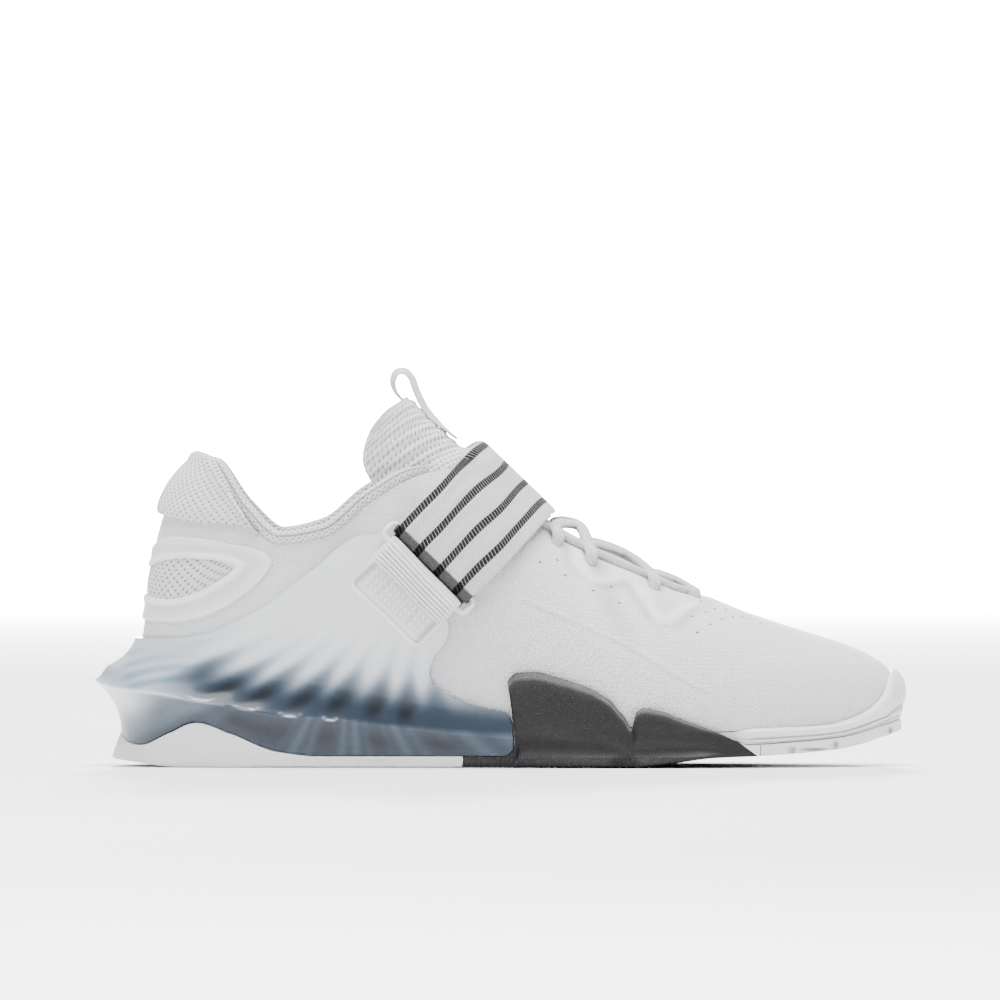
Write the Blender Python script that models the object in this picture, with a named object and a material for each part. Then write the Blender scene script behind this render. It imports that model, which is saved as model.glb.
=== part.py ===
"""A right-foot weightlifting shoe, as separate solids in metres.

+X points to the toe, -Y to the little-toe side and +Z up. The floor is z = 0, and the origin is on the
floor under the middle of the heel tread. The upper is one curved surface on ribs that stand on the last's
outline, and the clip, counter, pad, patch and fins are laid over it by the same functions.
"""

import math

import bmesh
import bpy
import numpy as np

# Driving dimensions of the last and the upper.
LAST_LENGTH = 0.280
HEEL_BACK = -0.0365
BALL_WIDTH = 0.099
COLLAR_HEIGHT = 0.112
HEEL_LIFT = 0.034
UPPER_WALL = 0.0022
CLEARANCE = 0.0003
OVERLAY_SEAT = 0.0005
CLIP_SEAT = 0.0009
INNER_STAND = 0.0006

# Sole.
SOLE_PLATE = 0.0036
SOLE_EDGE_ROUND = 0.0012
HEEL_FLARE = 0.0155
TOE_SPRING = 0.012
BUMPER_THICKNESS = 0.0032
INSOLE_THICKNESS = 0.0035
HEEL_SPLIT = 0.084
TOE_SPLIT = 0.1935

# Overlays, padding and trim.
CLIP_THICKNESS = 0.0015
COUNTER_THICKNESS = 0.0012
COUNTER_RIDGE = 0.0007
PAD_THICKNESS = 0.0034
PAD_LIP = 0.0042
ROLL_WIDTH = 0.0052
ROLL_HEIGHT = 0.0048
TONGUE_THICKNESS = 0.0050
TONGUE_EDGE = 0.0026
LOOP_WIDTH = 0.0085
LOOP_THICKNESS = 0.0011
LACE_WIDTH = 0.0046
LACE_THICKNESS = 0.0022

# Strap and what it is fastened to.
STRAP_WIDTH = 0.0380
STRAP_THICKNESS = 0.0018
STRAP_CREST_X = 0.1055
STRAP_CREST_Z = 0.1075
STRAP_SLOPE = math.radians(44.0)
STRAP_DROP = 0.0445
BAR_RADIUS = 0.0010
RING_REACH = 0.0062
PATCH_LENGTH = 0.0210
PATCH_THICKNESS = 0.0014

# A rib pair for each row, from the heel's back to the toe's tip. The foot of a rib is on the last's outline
# and its head on the top edge. Shares of LAST_LENGTH (along), BALL_WIDTH (across), HEEL_LIFT (lift) and
# COLLAR_HEIGHT (height), then the angles in degrees at which a rib leaves its foot and comes to its head, and
# how full it is.
RIB_COLUMNS = ("foot_along", "foot_outer", "foot_inner", "lift", "head_along", "head_middle", "half_outer",
               "half_inner", "height_outer", "height_inner", "flare", "lean", "full")
RIBS = (
    (0.000, 0.000, 0.000, 1.000, 0.080, 0.000, 0.000, 0.000, 0.996, 0.996, -12, 46, 0.92),
    (0.020, 0.192, 0.192, 1.000, 0.098, 0.000, 0.141, 0.141, 0.984, 0.984, -6, 38, 0.92),
    (0.077, 0.313, 0.308, 0.985, 0.138, 0.000, 0.242, 0.242, 0.838, 0.848, 4, 22, 1.00),
    (0.152, 0.348, 0.333, 0.956, 0.191, 0.000, 0.313, 0.308, 0.732, 0.745, 6, 12, 1.00),
    (0.234, 0.354, 0.323, 0.897, 0.252, 0.000, 0.348, 0.338, 0.758, 0.775, 6, 10, 1.00),
    (0.309, 0.359, 0.318, 0.794, 0.312, 0.000, 0.343, 0.333, 0.873, 0.887, 5, 16, 1.00),
    (0.380, 0.369, 0.318, 0.676, 0.370, 0.000, 0.303, 0.298, 0.955, 0.965, 4, 28, 1.00),
    (0.445, 0.389, 0.333, 0.574, 0.430, 0.005, 0.222, 0.222, 0.985, 0.993, 4, 45, 1.00),
    (0.509, 0.424, 0.364, 0.485, 0.487, 0.010, 0.187, 0.187, 0.879, 0.884, 4, 55, 1.00),
    (0.588, 0.475, 0.414, 0.421, 0.562, 0.015, 0.167, 0.167, 0.753, 0.757, 4, 64, 1.00),
    (0.670, 0.500, 0.470, 0.391, 0.655, 0.020, 0.146, 0.146, 0.641, 0.643, 5, 72, 1.00),
    (0.752, 0.475, 0.500, 0.391, 0.723, 0.025, 0.111, 0.111, 0.570, 0.570, 8, 82, 1.00),
    (0.823, 0.424, 0.490, 0.412, 0.754, 0.030, 0.000, 0.000, 0.557, 0.557, 10, 90, 1.02),
    (0.887, 0.343, 0.449, 0.450, 0.809, 0.040, 0.000, 0.000, 0.504, 0.504, 12, 90, 1.06),
    (0.943, 0.237, 0.379, 0.500, 0.863, 0.051, 0.000, 0.000, 0.459, 0.459, 16, 90, 1.12),
    (0.984, 0.091, 0.268, 0.550, 0.905, 0.061, 0.000, 0.000, 0.426, 0.426, 19, 90, 1.20),
    (1.000, -0.086, 0.086, 0.574, 0.927, 0.071, 0.000, 0.000, 0.409, 0.409, 19, 90, 1.24),
)
TOE = len(RIBS) - 1
ROUND = 2 * TOE
THROAT_END = 12
COLLAR_FRONT = 6
RIDGE_FALL = 0.36
FOOT_HANDLE = 0.40
HEAD_HANDLE = 0.36

# Side-view outlines of the overlays: shares of LAST_LENGTH along and of COLLAR_HEIGHT up, heel to toe.
CLIP_TOP = ((0.025, 0.420), (0.064, 0.423), (0.104, 0.443), (0.137, 0.479), (0.177, 0.532), (0.210, 0.598),
            (0.243, 0.664), (0.269, 0.723), (0.296, 0.757), (0.326, 0.765))
CLIP_TOP_BACK = 0.420
CLIP_FRONT = ((0.4995, 0.100), (0.4935, 0.172), (0.457, 0.198), (0.413, 0.238), (0.394, 0.272), (0.388, 0.314),
              (0.396, 0.370), (0.409, 0.410), (0.414, 0.466), (0.400, 0.535), (0.364, 0.650), (0.326, 0.765))
CLIP_RIDGE = ((0.025, 0.251), (0.058, 0.235), (0.091, 0.215), (0.124, 0.202), (0.157, 0.185), (0.206, 0.168),
              (0.256, 0.162), (0.322, 0.139), (0.388, 0.122), (0.454, 0.106), (0.4995, 0.100))
CLIP_RIDGE_BACK = 0.284
# The clip's rows above its ridge, the rib up to which its columns stand upright, and the height over which the
# ridge sweeps back into the wall.
CLIP_ROWS = 9
CLIP_EVEN = 2.5
CLIP_SWEEP = 0.020
EYE_OUTER = ((0.038, 0.750), (0.058, 0.757), (0.091, 0.750), (0.124, 0.733), (0.153, 0.723), (0.173, 0.700),
             (0.182, 0.677), (0.170, 0.624), (0.150, 0.575), (0.124, 0.529), (0.091, 0.492), (0.058, 0.476),
             (0.030, 0.478))
EYE_OUTER_BACK = (0.715, 0.484)
EYE_INNER = ((0.038, 0.676), (0.058, 0.684), (0.091, 0.681), (0.118, 0.669), (0.130, 0.654), (0.120, 0.628),
             (0.100, 0.595), (0.074, 0.565), (0.051, 0.552), (0.030, 0.556))
EYE_INNER_BACK = (0.655, 0.570)
PAD_LOW = ((0.050, 0.818), (0.091, 0.803), (0.137, 0.795), (0.163, 0.772))
PAD_LOW_BACK = 0.829

# The sole's side for each row: where the edge stands below and above, how high the outsole rises, and how far
# the outsole stands out at the floor, at its top and at the clip's ridge. The rises are shares of
# COLLAR_HEIGHT, the first two stand-outs of HEEL_FLARE, and the third of HEEL_FLARE as well.
SIDE_COLUMNS = ("low_along", "top_along", "rise", "out_low", "out_top", "out_ridge")
SIDES = (
    (0.000, 0.000, 0.116, 0.60, 0.36, 1.00),
    (0.025, 0.025, 0.073, 0.56, 0.40, 0.80),
    (0.058, 0.058, 0.116, 0.46, 0.38, 0.66),
    (0.087, 0.087, 0.149, 0.40, 0.36, 0.58),
    (0.124, 0.124, 0.116, 0.37, 0.34, 0.52),
    (0.190, 0.190, 0.052, 0.32, 0.31, 0.42),
    (0.256, 0.256, 0.034, 0.28, 0.28, 0.34),
    (0.355, 0.355, 0.032, 0.24, 0.24, 0.28),
    (0.490, 0.486, 0.032, 0.22, 0.22, 0.22),
    (0.502, 0.505, 0.075, 0.22, 0.20, 0.22),
    (0.513, 0.492, 0.285, 0.22, 0.17, 0.22),
    (0.519, 0.504, 0.312, 0.22, 0.17, 0.22),
    (0.530, 0.526, 0.314, 0.22, 0.17, 0.22),
    (0.560, 0.560, 0.294, 0.22, 0.17, 0.22),
    (0.602, 0.602, 0.258, 0.22, 0.17, 0.22),
    (0.623, 0.625, 0.222, 0.22, 0.17, 0.22),
    (0.639, 0.644, 0.168, 0.22, 0.17, 0.22),
    (0.649, 0.653, 0.134, 0.22, 0.17, 0.22),
    (0.655, 0.659, 0.183, 0.22, 0.17, 0.22),
    (0.668, 0.668, 0.195, 0.22, 0.17, 0.22),
    (0.687, 0.687, 0.188, 0.22, 0.17, 0.22),
    (0.718, 0.718, 0.160, 0.22, 0.17, 0.22),
    (0.760, 0.760, 0.121, 0.22, 0.17, 0.22),
    (0.792, 0.792, 0.084, 0.22, 0.18, 0.22),
    (0.819, 0.819, 0.054, 0.22, 0.19, 0.22),
    (0.856, 0.856, 0.068, 0.22, 0.20, 0.22),
    (0.907, 0.907, 0.086, 0.22, 0.20, 0.22),
    (0.956, 0.956, 0.108, 0.22, 0.20, 0.22),
    (0.986, 0.986, 0.122, 0.22, 0.20, 0.22),
    (1.000, 1.000, 0.130, 0.22, 0.20, 0.22),
)
# The stretch of ribs over which the outsole has a column for each row of that table.
FIN_SPAN = (7.5, 11.8)
# Height of the sole's underside, a share of TOE_SPRING, with a bevel at the heel's back.
UNDERSIDE = ((-0.060, 0.30), (0.000, 0.16), (0.040, 0.03), (0.070, 0.00), (0.655, 0.00), (0.700, 0.12),
             (0.760, 0.30), (0.820, 0.36), (0.886, 0.46), (0.930, 0.56), (0.960, 0.72), (0.985, 0.90),
             (1.015, 1.10))
# Height of the bite line, where the white foxing meets the upper: a share of COLLAR_HEIGHT.
BITE_LINE = ((0.780, 0.122), (0.800, 0.129), (0.886, 0.135), (0.915, 0.142), (0.936, 0.157), (0.956, 0.178),
             (0.971, 0.207), (0.981, 0.240), (0.990, 0.285), (1.000, 0.311))
BITE_START = 0.785

# The tongue: the rib under which each row is tucked, how far up that rib its edge lies, its crown in metres.
TONGUE_TUCK = ((11.4, 0.93, 0.0006), (11.0, 0.90, 0.0014), (10.5, 0.88, 0.0026), (10.0, 0.87, 0.0038),
               (9.5, 0.87, 0.0048), (9.0, 0.87, 0.0056), (8.5, 0.87, 0.0062), (8.0, 0.87, 0.0066))
# Above the collar: its middle and its edges in side view, and half its width, as shares.
TONGUE_TOP = ((0.455, 0.990, 0.385, 0.890, 0.232), (0.420, 1.045, 0.325, 0.915, 0.238),
              (0.400, 1.090, 0.305, 0.965, 0.244), (0.380, 1.135, 0.300, 1.030, 0.240),
              (0.362, 1.185, 0.310, 1.110, 0.205), (0.350, 1.206, 0.325, 1.160, 0.155))
# The pull loop's middle line in side view, as shares.
LOOP_PATH = ((0.4028, 1.1225), (0.3838, 1.1725), (0.3695, 1.2415), (0.363, 1.283), (0.354, 1.303), (0.345, 1.300),
             (0.339, 1.270), (0.341, 1.240), (0.346, 1.220))
# Eyelets: the rib on which each pair lies, how far up that rib, and how high the lace passes over the middle.
EYELETS = ((11.25, 0.955, 0.0022), (10.3, 0.90, 0.0034), (9.35, 0.90, 0.0064), (8.85, 0.93, 0.0076))

# Columns of the shared grid: closer together where heel and toe bend most.
STATIONS = (0, 0.33, 0.67, 1, 1.33, 1.67, 2, 2.5, 3, 3.5, 4, 4.5, 5, 5.5, 6, 6.5, 7, 7.5, 8, 8.5, 9, 9.5,
            10, 10.5, 11, 11.5, 12, 12.5, 13, 13.5, 14, 14.5, 15, 15.5, 16)
UPPER_ROWS = 9


# Curves through tables.

def hermite(values, slopes, at):
    """The cubic through values at 0, 1, 2 ... with the given slopes, at each place in at."""
    low = np.clip(np.floor(at).astype(int), 0, len(values) - 2)
    t = at - low
    rise = (1 + 2 * t) * (1 - t) ** 2 * values[low] + t * (1 - t) ** 2 * slopes[low]
    return rise + t * t * (3 - 2 * t) * values[low + 1] + t * t * (t - 1) * slopes[low + 1]


def even_slopes(values):
    """Slopes that never overshoot the table: the harmonic mean of neighbouring steps, or 0 at a turn."""
    steps = np.diff(values)
    before, after = steps[:-1], steps[1:]
    same = before * after > 0
    total = np.where(same, before + after, 1.0)
    inner = np.where(same, 2 * before * after / total, 0.0)
    return np.concatenate([[steps[0]], inner, [steps[-1]]])


def table_curve(rows, at, column=1):
    """A curve without overshoot through a table of (place, value, ...) rows, held level beyond its ends."""
    places = np.array([row[0] for row in rows])
    values = np.array([row[column] for row in rows])
    index = np.interp(at, places, np.arange(len(rows)))
    return hermite(values, even_slopes(values), index)


def closed_curve(values, even=False):
    """A periodic cubic through values, one for each whole number: its values and slopes, both wrapped."""
    wide = np.concatenate([values[-2:], values, values[:3]])
    return wide, even_slopes(wide) if even else np.gradient(wide)


def round_at(curve, u):
    """The value of a closed curve at u."""
    values, slopes = curve
    return hermite(values, slopes, np.mod(u, ROUND) + 2)


def chord_curve(points, at):
    """A smooth curve through points, at places given as shares of the length of its chords."""
    points = np.array(points, float)
    steps = np.linalg.norm(np.diff(points, axis=0), axis=1)
    length = np.concatenate([[0], np.cumsum(steps)])
    slopes = np.gradient(points, length, axis=0)
    where = np.asarray(at) * length[-1]
    low = np.clip(np.searchsorted(length, where, "right") - 1, 0, len(steps) - 1)
    t = ((where - length[low]) / steps[low])[:, None]
    span = steps[low][:, None]
    here = (1 + 2 * t) * (1 - t) ** 2 * points[low] + t * (1 - t) ** 2 * span * slopes[low]
    return here + t * t * (3 - 2 * t) * points[low + 1] + t * t * (t - 1) * span * slopes[low + 1]


def outline(points, count):
    """Count points spaced evenly along a smooth curve through points."""
    return chord_curve(points, np.linspace(0, 1, count))


def through(points, steps):
    """A smooth curve through points, with each span between two of them cut into steps."""
    chords = np.linalg.norm(np.diff(np.array(points, float), axis=0), axis=1)
    length = np.concatenate([[0], np.cumsum(chords)])
    index = np.linspace(0, len(chords), len(chords) * steps + 1)
    return chord_curve(points, np.interp(index, np.arange(len(length)), length) / length[-1])


# The last and the upper's surface. The place u runs from 0 at the heel's back along the outer side to TOE and
# on along the inner side to ROUND.

def around(outer, inner, mirrored=False):
    """One value for each rib round the shoe, from the two sides' columns."""
    sign = -1.0 if mirrored else 1.0
    return np.concatenate([sign * np.array(outer), np.array(inner)[-2:0:-1]])


def rib_curves():
    """The rib table as closed curves round the shoe, in metres and radians."""
    rows = {name: np.array([row[i] for row in RIBS]) for i, name in enumerate(RIB_COLUMNS)}
    along = rows["foot_along"] * LAST_LENGTH + HEEL_BACK
    ahead = rows["head_along"] * LAST_LENGTH + HEEL_BACK
    middle = rows["head_middle"] * BALL_WIDTH
    outer, inner = rows["height_outer"] * COLLAR_HEIGHT, rows["height_inner"] * COLLAR_HEIGHT
    half_outer, half_inner = rows["half_outer"] * BALL_WIDTH, rows["half_inner"] * BALL_WIDTH
    foot_outer, foot_inner = rows["foot_outer"] * BALL_WIDTH, rows["foot_inner"] * BALL_WIDTH
    lift = rows["lift"] * HEEL_LIFT
    return {
        "foot_x": closed_curve(around(along, along)),
        "foot_y": closed_curve(around(foot_outer, foot_inner, True)),
        "foot_z": closed_curve(around(lift, lift)),
        "head_x": closed_curve(around(ahead, ahead), True),
        "head_mid": closed_curve(around(middle, middle), True),
        "head_half": closed_curve(around(half_outer, half_inner, True), True),
        "head_z": closed_curve(around(outer, inner), True),
        "flare": closed_curve(np.radians(around(rows["flare"], rows["flare"])), True),
        "lean": closed_curve(np.radians(around(rows["lean"], rows["lean"])), True),
        "full": closed_curve(around(rows["full"], rows["full"]), True),
    }


CURVES = rib_curves()


def foot(u):
    """The last's outline at u: points, and the level outward direction."""
    def place(at):
        return np.stack([round_at(CURVES["foot_x"], at), round_at(CURVES["foot_y"], at)], axis=-1)
    along = place(u + 0.01) - place(u - 0.01)
    along = along / np.linalg.norm(along, axis=-1, keepdims=True)
    outward = np.stack([along[..., 1], -along[..., 0], 0 * along[..., 0]], axis=-1)
    lift = round_at(CURVES["foot_z"], u)
    return np.concatenate([place(u), lift[..., None]], axis=-1), outward


def head(u):
    """The top edge at u."""
    y = round_at(CURVES["head_mid"], u) + round_at(CURVES["head_half"], u)
    return np.stack([round_at(CURVES["head_x"], u), y, round_at(CURVES["head_z"], u)], axis=-1)


def rib_handles(u):
    """The four points that shape the cubic rib at u: foot, the two handles, head."""
    start, outward = foot(u)
    end = head(u)
    flare = round_at(CURVES["flare"], u)[..., None]
    lean = round_at(CURVES["lean"], u)[..., None]
    up = np.array([0.0, 0.0, 1.0])
    level = (end - start) * np.array([1.0, 1.0, 0.0])
    inward = level / np.maximum(np.linalg.norm(level, axis=-1, keepdims=True), 1e-6)
    climb = np.cos(lean) - RIDGE_FALL * inward[..., :1] * np.sin(lean) ** 4
    reach = np.linalg.norm(end - start, axis=-1, keepdims=True) * round_at(CURVES["full"], u)[..., None]
    low = start + FOOT_HANDLE * reach * (np.cos(flare) * up + np.sin(flare) * outward)
    high = end - HEAD_HANDLE * reach * (np.sin(lean) * inward + climb * up)
    return start, low, high, end


def cubic(handles, v):
    """The point at v, from 0 to 1, of a cubic with four shaping points."""
    start, low, high, end = handles
    w = 1 - v
    return w ** 3 * start + 3 * w * w * v * low + 3 * w * v * v * high + v ** 3 * end


def rib(u, v):
    """The upper's surface: the rib at u, from its foot at v = 0 to its head at v = 1."""
    return cubic(rib_handles(u), np.asarray(v)[..., None])


def skin(u, z):
    """The shoe's side at u and height z: the upper, and below its foot the last's outline straight down."""
    low = np.zeros(np.broadcast(u, z).shape)
    high = np.ones_like(low)
    handles = rib_handles(u + low)
    heights = [handle[..., 2] for handle in handles]
    for _ in range(24):
        middle = (low + high) / 2
        below = cubic(heights, middle) < z
        low, high = np.where(below, middle, low), np.where(below, high, middle)
    point = cubic(handles, high[..., None])
    point[..., 2] = np.where(z < heights[0], z, point[..., 2])
    return point


def normals(u, z):
    """Outward unit normals of skin."""
    du, dz = 0.04, 0.0008
    top = head(u)[..., 2] - 2 * dz
    z = np.minimum(z, top)
    along = skin(u + du, z) - skin(u - du, z)
    up = skin(u, z + dz) - skin(u, z - dz)
    normal = np.cross(along, up)
    return normal / np.linalg.norm(normal, axis=-1, keepdims=True)


def lay(u, z, out):
    """Points that stand the distance out off the shoe's side."""
    return skin(u, z) + normals(u, z) * np.asarray(out)[..., None]


def place_u(along, height):
    """The u on the outer side at a side-view place given in shares."""
    x = HEEL_BACK + np.asarray(along, float) * LAST_LENGTH
    z = np.asarray(height, float) * COLLAR_HEIGHT
    low, high = np.zeros_like(x), np.full_like(x, TOE)
    for _ in range(22):
        middle = (low + high) / 2
        behind = skin(middle, z)[..., 0] < x
        low, high = np.where(behind, middle, low), np.where(behind, high, middle)
    return high


def side_line(rows, count, back=None, end=None):
    """An outline given in side-view shares as (u, z) points. Back and end put its ends on the heel's back line."""
    along, height = np.array(rows).T
    points = np.stack([place_u(along, height) * U_STEP, height * COLLAR_HEIGHT], axis=1)
    if back is not None:
        points = np.concatenate([[[0.0, back * COLLAR_HEIGHT]], points])
    if end is not None:
        points = np.concatenate([points, [[0.0, end * COLLAR_HEIGHT]]])
    return outline(points, count) / np.array([U_STEP, 1.0])


# About how far apart ribs stand, so that u and z count alike where a curve is spaced out.
U_STEP = LAST_LENGTH / TOE


def patch(bottom, top, left, right):
    """A surface between four lines of points, by adding the two ruled surfaces less the corners' one."""
    s = np.linspace(0, 1, len(bottom))[None, :, None]
    t = np.linspace(0, 1, len(left))[:, None, None]
    ruled = (1 - t) * bottom[None] + t * top[None] + (1 - s) * left[:, None] + s * right[:, None]
    corners = (1 - t) * ((1 - s) * bottom[0] + s * bottom[-1]) + t * ((1 - s) * top[0] + s * top[-1])
    return ruled - corners


def both_sides(grid):
    """A grid of (u, z) points on the outer side, from the heel's back, with its mirror on the inner side."""
    other = grid[:, :0:-1].copy()
    other[..., 0] = ROUND - other[..., 0]
    return np.concatenate([other, grid], axis=1)


# Solids.

def material(name, colour, roughness, metallic=0.0):
    """A plain Principled material."""
    made = bpy.data.materials.new(name)
    made.use_nodes = True
    shader = made.node_tree.nodes["Principled BSDF"]
    shader.inputs["Base Color"].default_value = (*colour, 1.0)
    shader.inputs["Roughness"].default_value = roughness
    shader.inputs["Metallic"].default_value = metallic
    return made


def solid(name, points, faces, colour, roughness=0.6):
    """One object of a closed mesh, with doubled points joined and its faces turned outward."""
    mesh = bpy.data.meshes.new(name)
    mesh.from_pydata(np.asarray(points).tolist(), [], [list(map(int, face)) for face in faces])
    shape = bmesh.new()
    shape.from_mesh(mesh)
    bmesh.ops.remove_doubles(shape, verts=shape.verts, dist=1e-6)
    bmesh.ops.dissolve_degenerate(shape, dist=1e-7, edges=shape.edges)
    bmesh.ops.triangulate(shape, faces=shape.faces)
    bmesh.ops.recalc_face_normals(shape, faces=shape.faces)
    if shape.calc_volume(signed=True) < 0:
        bmesh.ops.reverse_faces(shape, faces=shape.faces)
    shape.to_mesh(mesh)
    shape.free()
    made = bpy.data.objects.new(name, mesh)
    bpy.context.scene.collection.objects.link(made)
    mesh.materials.append(material(name, colour, roughness))
    mesh.shade_smooth()
    mesh.set_sharp_from_angle(angle=math.radians(35))
    return made


def grid_faces(rows, columns, start=0, wrap=False):
    """Quads of a grid of points numbered row by row. With wrap, its last column joins its first."""
    r, c = np.meshgrid(np.arange(rows - 1), np.arange(columns if wrap else columns - 1), indexing="ij")
    n = (c + 1) % columns
    faces = np.stack([r * columns + c, r * columns + n, (r + 1) * columns + n, (r + 1) * columns + c], axis=-1)
    return faces.reshape(-1, 4) + start


def slab(name, outer, inner, colour, roughness=0.6, wrap=False):
    """A closed solid between two grids of points with the same rows and columns."""
    rows, columns = outer.shape[:2]
    count = rows * columns
    faces = [grid_faces(rows, columns, 0, wrap), grid_faces(rows, columns, count, wrap)[:, ::-1]]
    here = np.arange(columns if wrap else columns - 1)
    after = (here + 1) % columns
    for edge in (0, (rows - 1) * columns):
        faces.append(np.stack([edge + here, edge + after, count + edge + after, count + edge + here], axis=1))
    if not wrap:
        here = np.arange(rows - 1) * columns
        for edge in (0, columns - 1):
            faces.append(np.stack([here + edge, here + edge + columns, count + here + edge + columns,
                                   count + here + edge], axis=1))
    points = np.concatenate([outer.reshape(-1, 3), inner.reshape(-1, 3)])
    return solid(name, points, np.concatenate(faces), colour, roughness)


def tray(name, rings, colour, roughness=0.6):
    """A closed solid of rings round the whole shoe. The first and last are closed straight across."""
    rows, columns = rings.shape[:2]
    half = columns // 2
    faces = grid_faces(rows, columns, 0, True).tolist()
    for start in (0, (rows - 1) * columns):
        i = np.arange(1, half - 1)
        across = np.stack([i, i + 1, columns - i - 1, columns - i], axis=1) + start
        faces += across.tolist()
        faces += [[start, start + 1, start + columns - 1], [start + half - 1, start + half, start + half + 1]]
    return solid(name, rings.reshape(-1, 3), faces, colour, roughness)


def tube(name, path, width, height, across, colour, sides=8, closed=False):
    """A tube of oval section along path. Across is the direction of its width at each point."""
    ahead = np.roll(path, -1, 0) - np.roll(path, 1, 0) if closed else np.gradient(path, axis=0)
    ahead /= np.linalg.norm(ahead, axis=1, keepdims=True)
    flat = across - (across * ahead).sum(1, keepdims=True) * ahead
    flat /= np.linalg.norm(flat, axis=1, keepdims=True)
    rise = np.cross(ahead, flat)
    angle = np.linspace(0, 2 * math.pi, sides, endpoint=False)[None, :, None]
    rings = path[:, None] + flat[:, None] * np.cos(angle) * width / 2 + rise[:, None] * np.sin(angle) * height / 2
    count = len(path)
    if closed:
        rings = np.concatenate([rings, rings[:1]])
    faces = [list(face) for face in grid_faces(len(rings), sides, 0, True)]
    if not closed:
        faces += [list(range(sides)), list(range((count - 1) * sides, count * sides))]
    return solid(name, rings.reshape(-1, 3), faces, colour)


def cut_to(target, low_x, high_x):
    """Keeps what lies between two places along the shoe."""
    size = LAST_LENGTH * 2
    bpy.ops.mesh.primitive_cube_add(size=1, location=((low_x + high_x) / 2, 0, 0))
    keep = bpy.context.object
    keep.name = target.name + "_cutter"
    keep.scale = (high_x - low_x, size, size)
    bpy.ops.object.transform_apply(location=False, rotation=False, scale=True)
    keep.hide_render = True
    keep.display_type = "WIRE"
    cut = target.modifiers.new("keep", "BOOLEAN")
    cut.operation = "INTERSECT"
    cut.object = keep
    return target


# The sole.

def underside(x):
    """Height of the sole's underside at x."""
    return table_curve(UNDERSIDE, (x - HEEL_BACK) / LAST_LENGTH) * TOE_SPRING


def sole_columns():
    """The side table spread over the sole's columns on the outer side: u below, u above and each value."""
    rows = {name: np.array([row[i] for row in SIDES]) for i, name in enumerate(SIDE_COLUMNS)}
    low_u = place_u(np.clip(rows["low_along"], 0, 1), 0 * rows["low_along"])
    low_u[0], low_u[-1] = 0.0, TOE
    top_u = place_u(np.clip(rows["top_along"], 0, 1), np.minimum(rows["rise"], 0.25))
    top_u[0], top_u[-1] = 0.0, TOE
    rows_at = np.arange(len(SIDES))
    fins = (low_u > FIN_SPAN[0]) & (low_u < FIN_SPAN[1])
    plain = np.array([u for u in STATIONS if u <= FIN_SPAN[0] - 0.2 or u >= FIN_SPAN[1] + 0.2])
    index = np.sort(np.concatenate([rows_at[fins], np.interp(plain, low_u, rows_at)]))
    spread = {name: hermite(rows[name], even_slopes(rows[name]), index) for name in SIDE_COLUMNS[2:]}
    spread["low_u"] = np.interp(index, rows_at, low_u)
    spread["top_u"] = np.where((index < rows_at[fins][0]) | (index > rows_at[fins][-1]), spread["low_u"],
                               np.interp(index, rows_at, top_u))
    return spread


def all_round(values, mirrored=False):
    """A column on the outer side, heel to toe, with the inner side's, toe to heel."""
    other = ROUND - values[-2:0:-1] if mirrored else values[-2:0:-1]
    return np.concatenate([values, other])


def outsole_levels(side):
    """The outsole's floor and the top of its rim in each column all round, and how far out it stands below."""
    out_low = all_round(side["out_low"]) * HEEL_FLARE
    base, outward = foot(all_round(side["low_u"], True))
    floor = underside((base + outward * out_low[:, None])[:, 0])
    top = np.maximum(all_round(side["rise"]) * COLLAR_HEIGHT, floor + SOLE_PLATE + SOLE_EDGE_ROUND / 2)
    return floor, top, out_low


def outsole_rings():
    """Rings of the outsole: under, out, up its side, over its top edge, and down inside to the plate."""
    side = sole_columns()
    low_u, top_u = all_round(side["low_u"], True), all_round(side["top_u"], True)
    out_top = all_round(side["out_top"]) * HEEL_FLARE
    floor, top, out_low = outsole_levels(side)

    def ring(share, out):
        u = low_u + (top_u - low_u) * share
        z = floor + (top - floor) * share
        return lay(u, z, out + 0 * z)

    rings = [ring(0.0, out_low - SOLE_EDGE_ROUND)]
    rings[0][:, 2] = underside(rings[0][:, 0])
    start = np.clip(SOLE_EDGE_ROUND / (top - floor), 0.05, 0.4)
    rings.append(ring(start, out_low))
    rings += [ring(share, out_low + (out_top - out_low) * share) for share in (0.45, 0.72)]
    rings.append(ring(0.97, out_top))
    rings.append(ring(1.0, out_top - 0.0008))
    rings.append(ring(1.0, CLEARANCE))
    plate = ring(0.0, CLEARANCE)
    plate[:, 2] = underside(plate[:, 0]) + SOLE_PLATE
    for share in (0.66, 0.33):
        u = low_u + (top_u - low_u) * share
        rings.append(lay(u, plate[:, 2] + (top - plate[:, 2]) * share, CLEARANCE + 0 * u))
    rings.append(plate)
    return np.stack(rings)


def build_outsoles():
    """The white heel rubber, the dark forefoot rubber with its side fins, and the white toe rubber."""
    rings = outsole_rings()
    reach = HEEL_BACK - 2 * HEEL_FLARE
    pieces = (("outsole_heel", reach, HEEL_SPLIT, (0.86, 0.87, 0.88)),
              ("outsole_forefoot", HEEL_SPLIT + CLEARANCE, TOE_SPLIT, (0.10, 0.10, 0.11)),
              ("outsole_toe", TOE_SPLIT + CLEARANCE, HEEL_BACK + LAST_LENGTH * 1.1, (0.86, 0.87, 0.88)))
    for name, low, high, colour in pieces:
        cut_to(tray(name, rings, colour, 0.55), low, high)


def upper_columns():
    """Places round the shoe for the upper and the insole."""
    return all_round(np.array(STATIONS), True)


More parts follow.
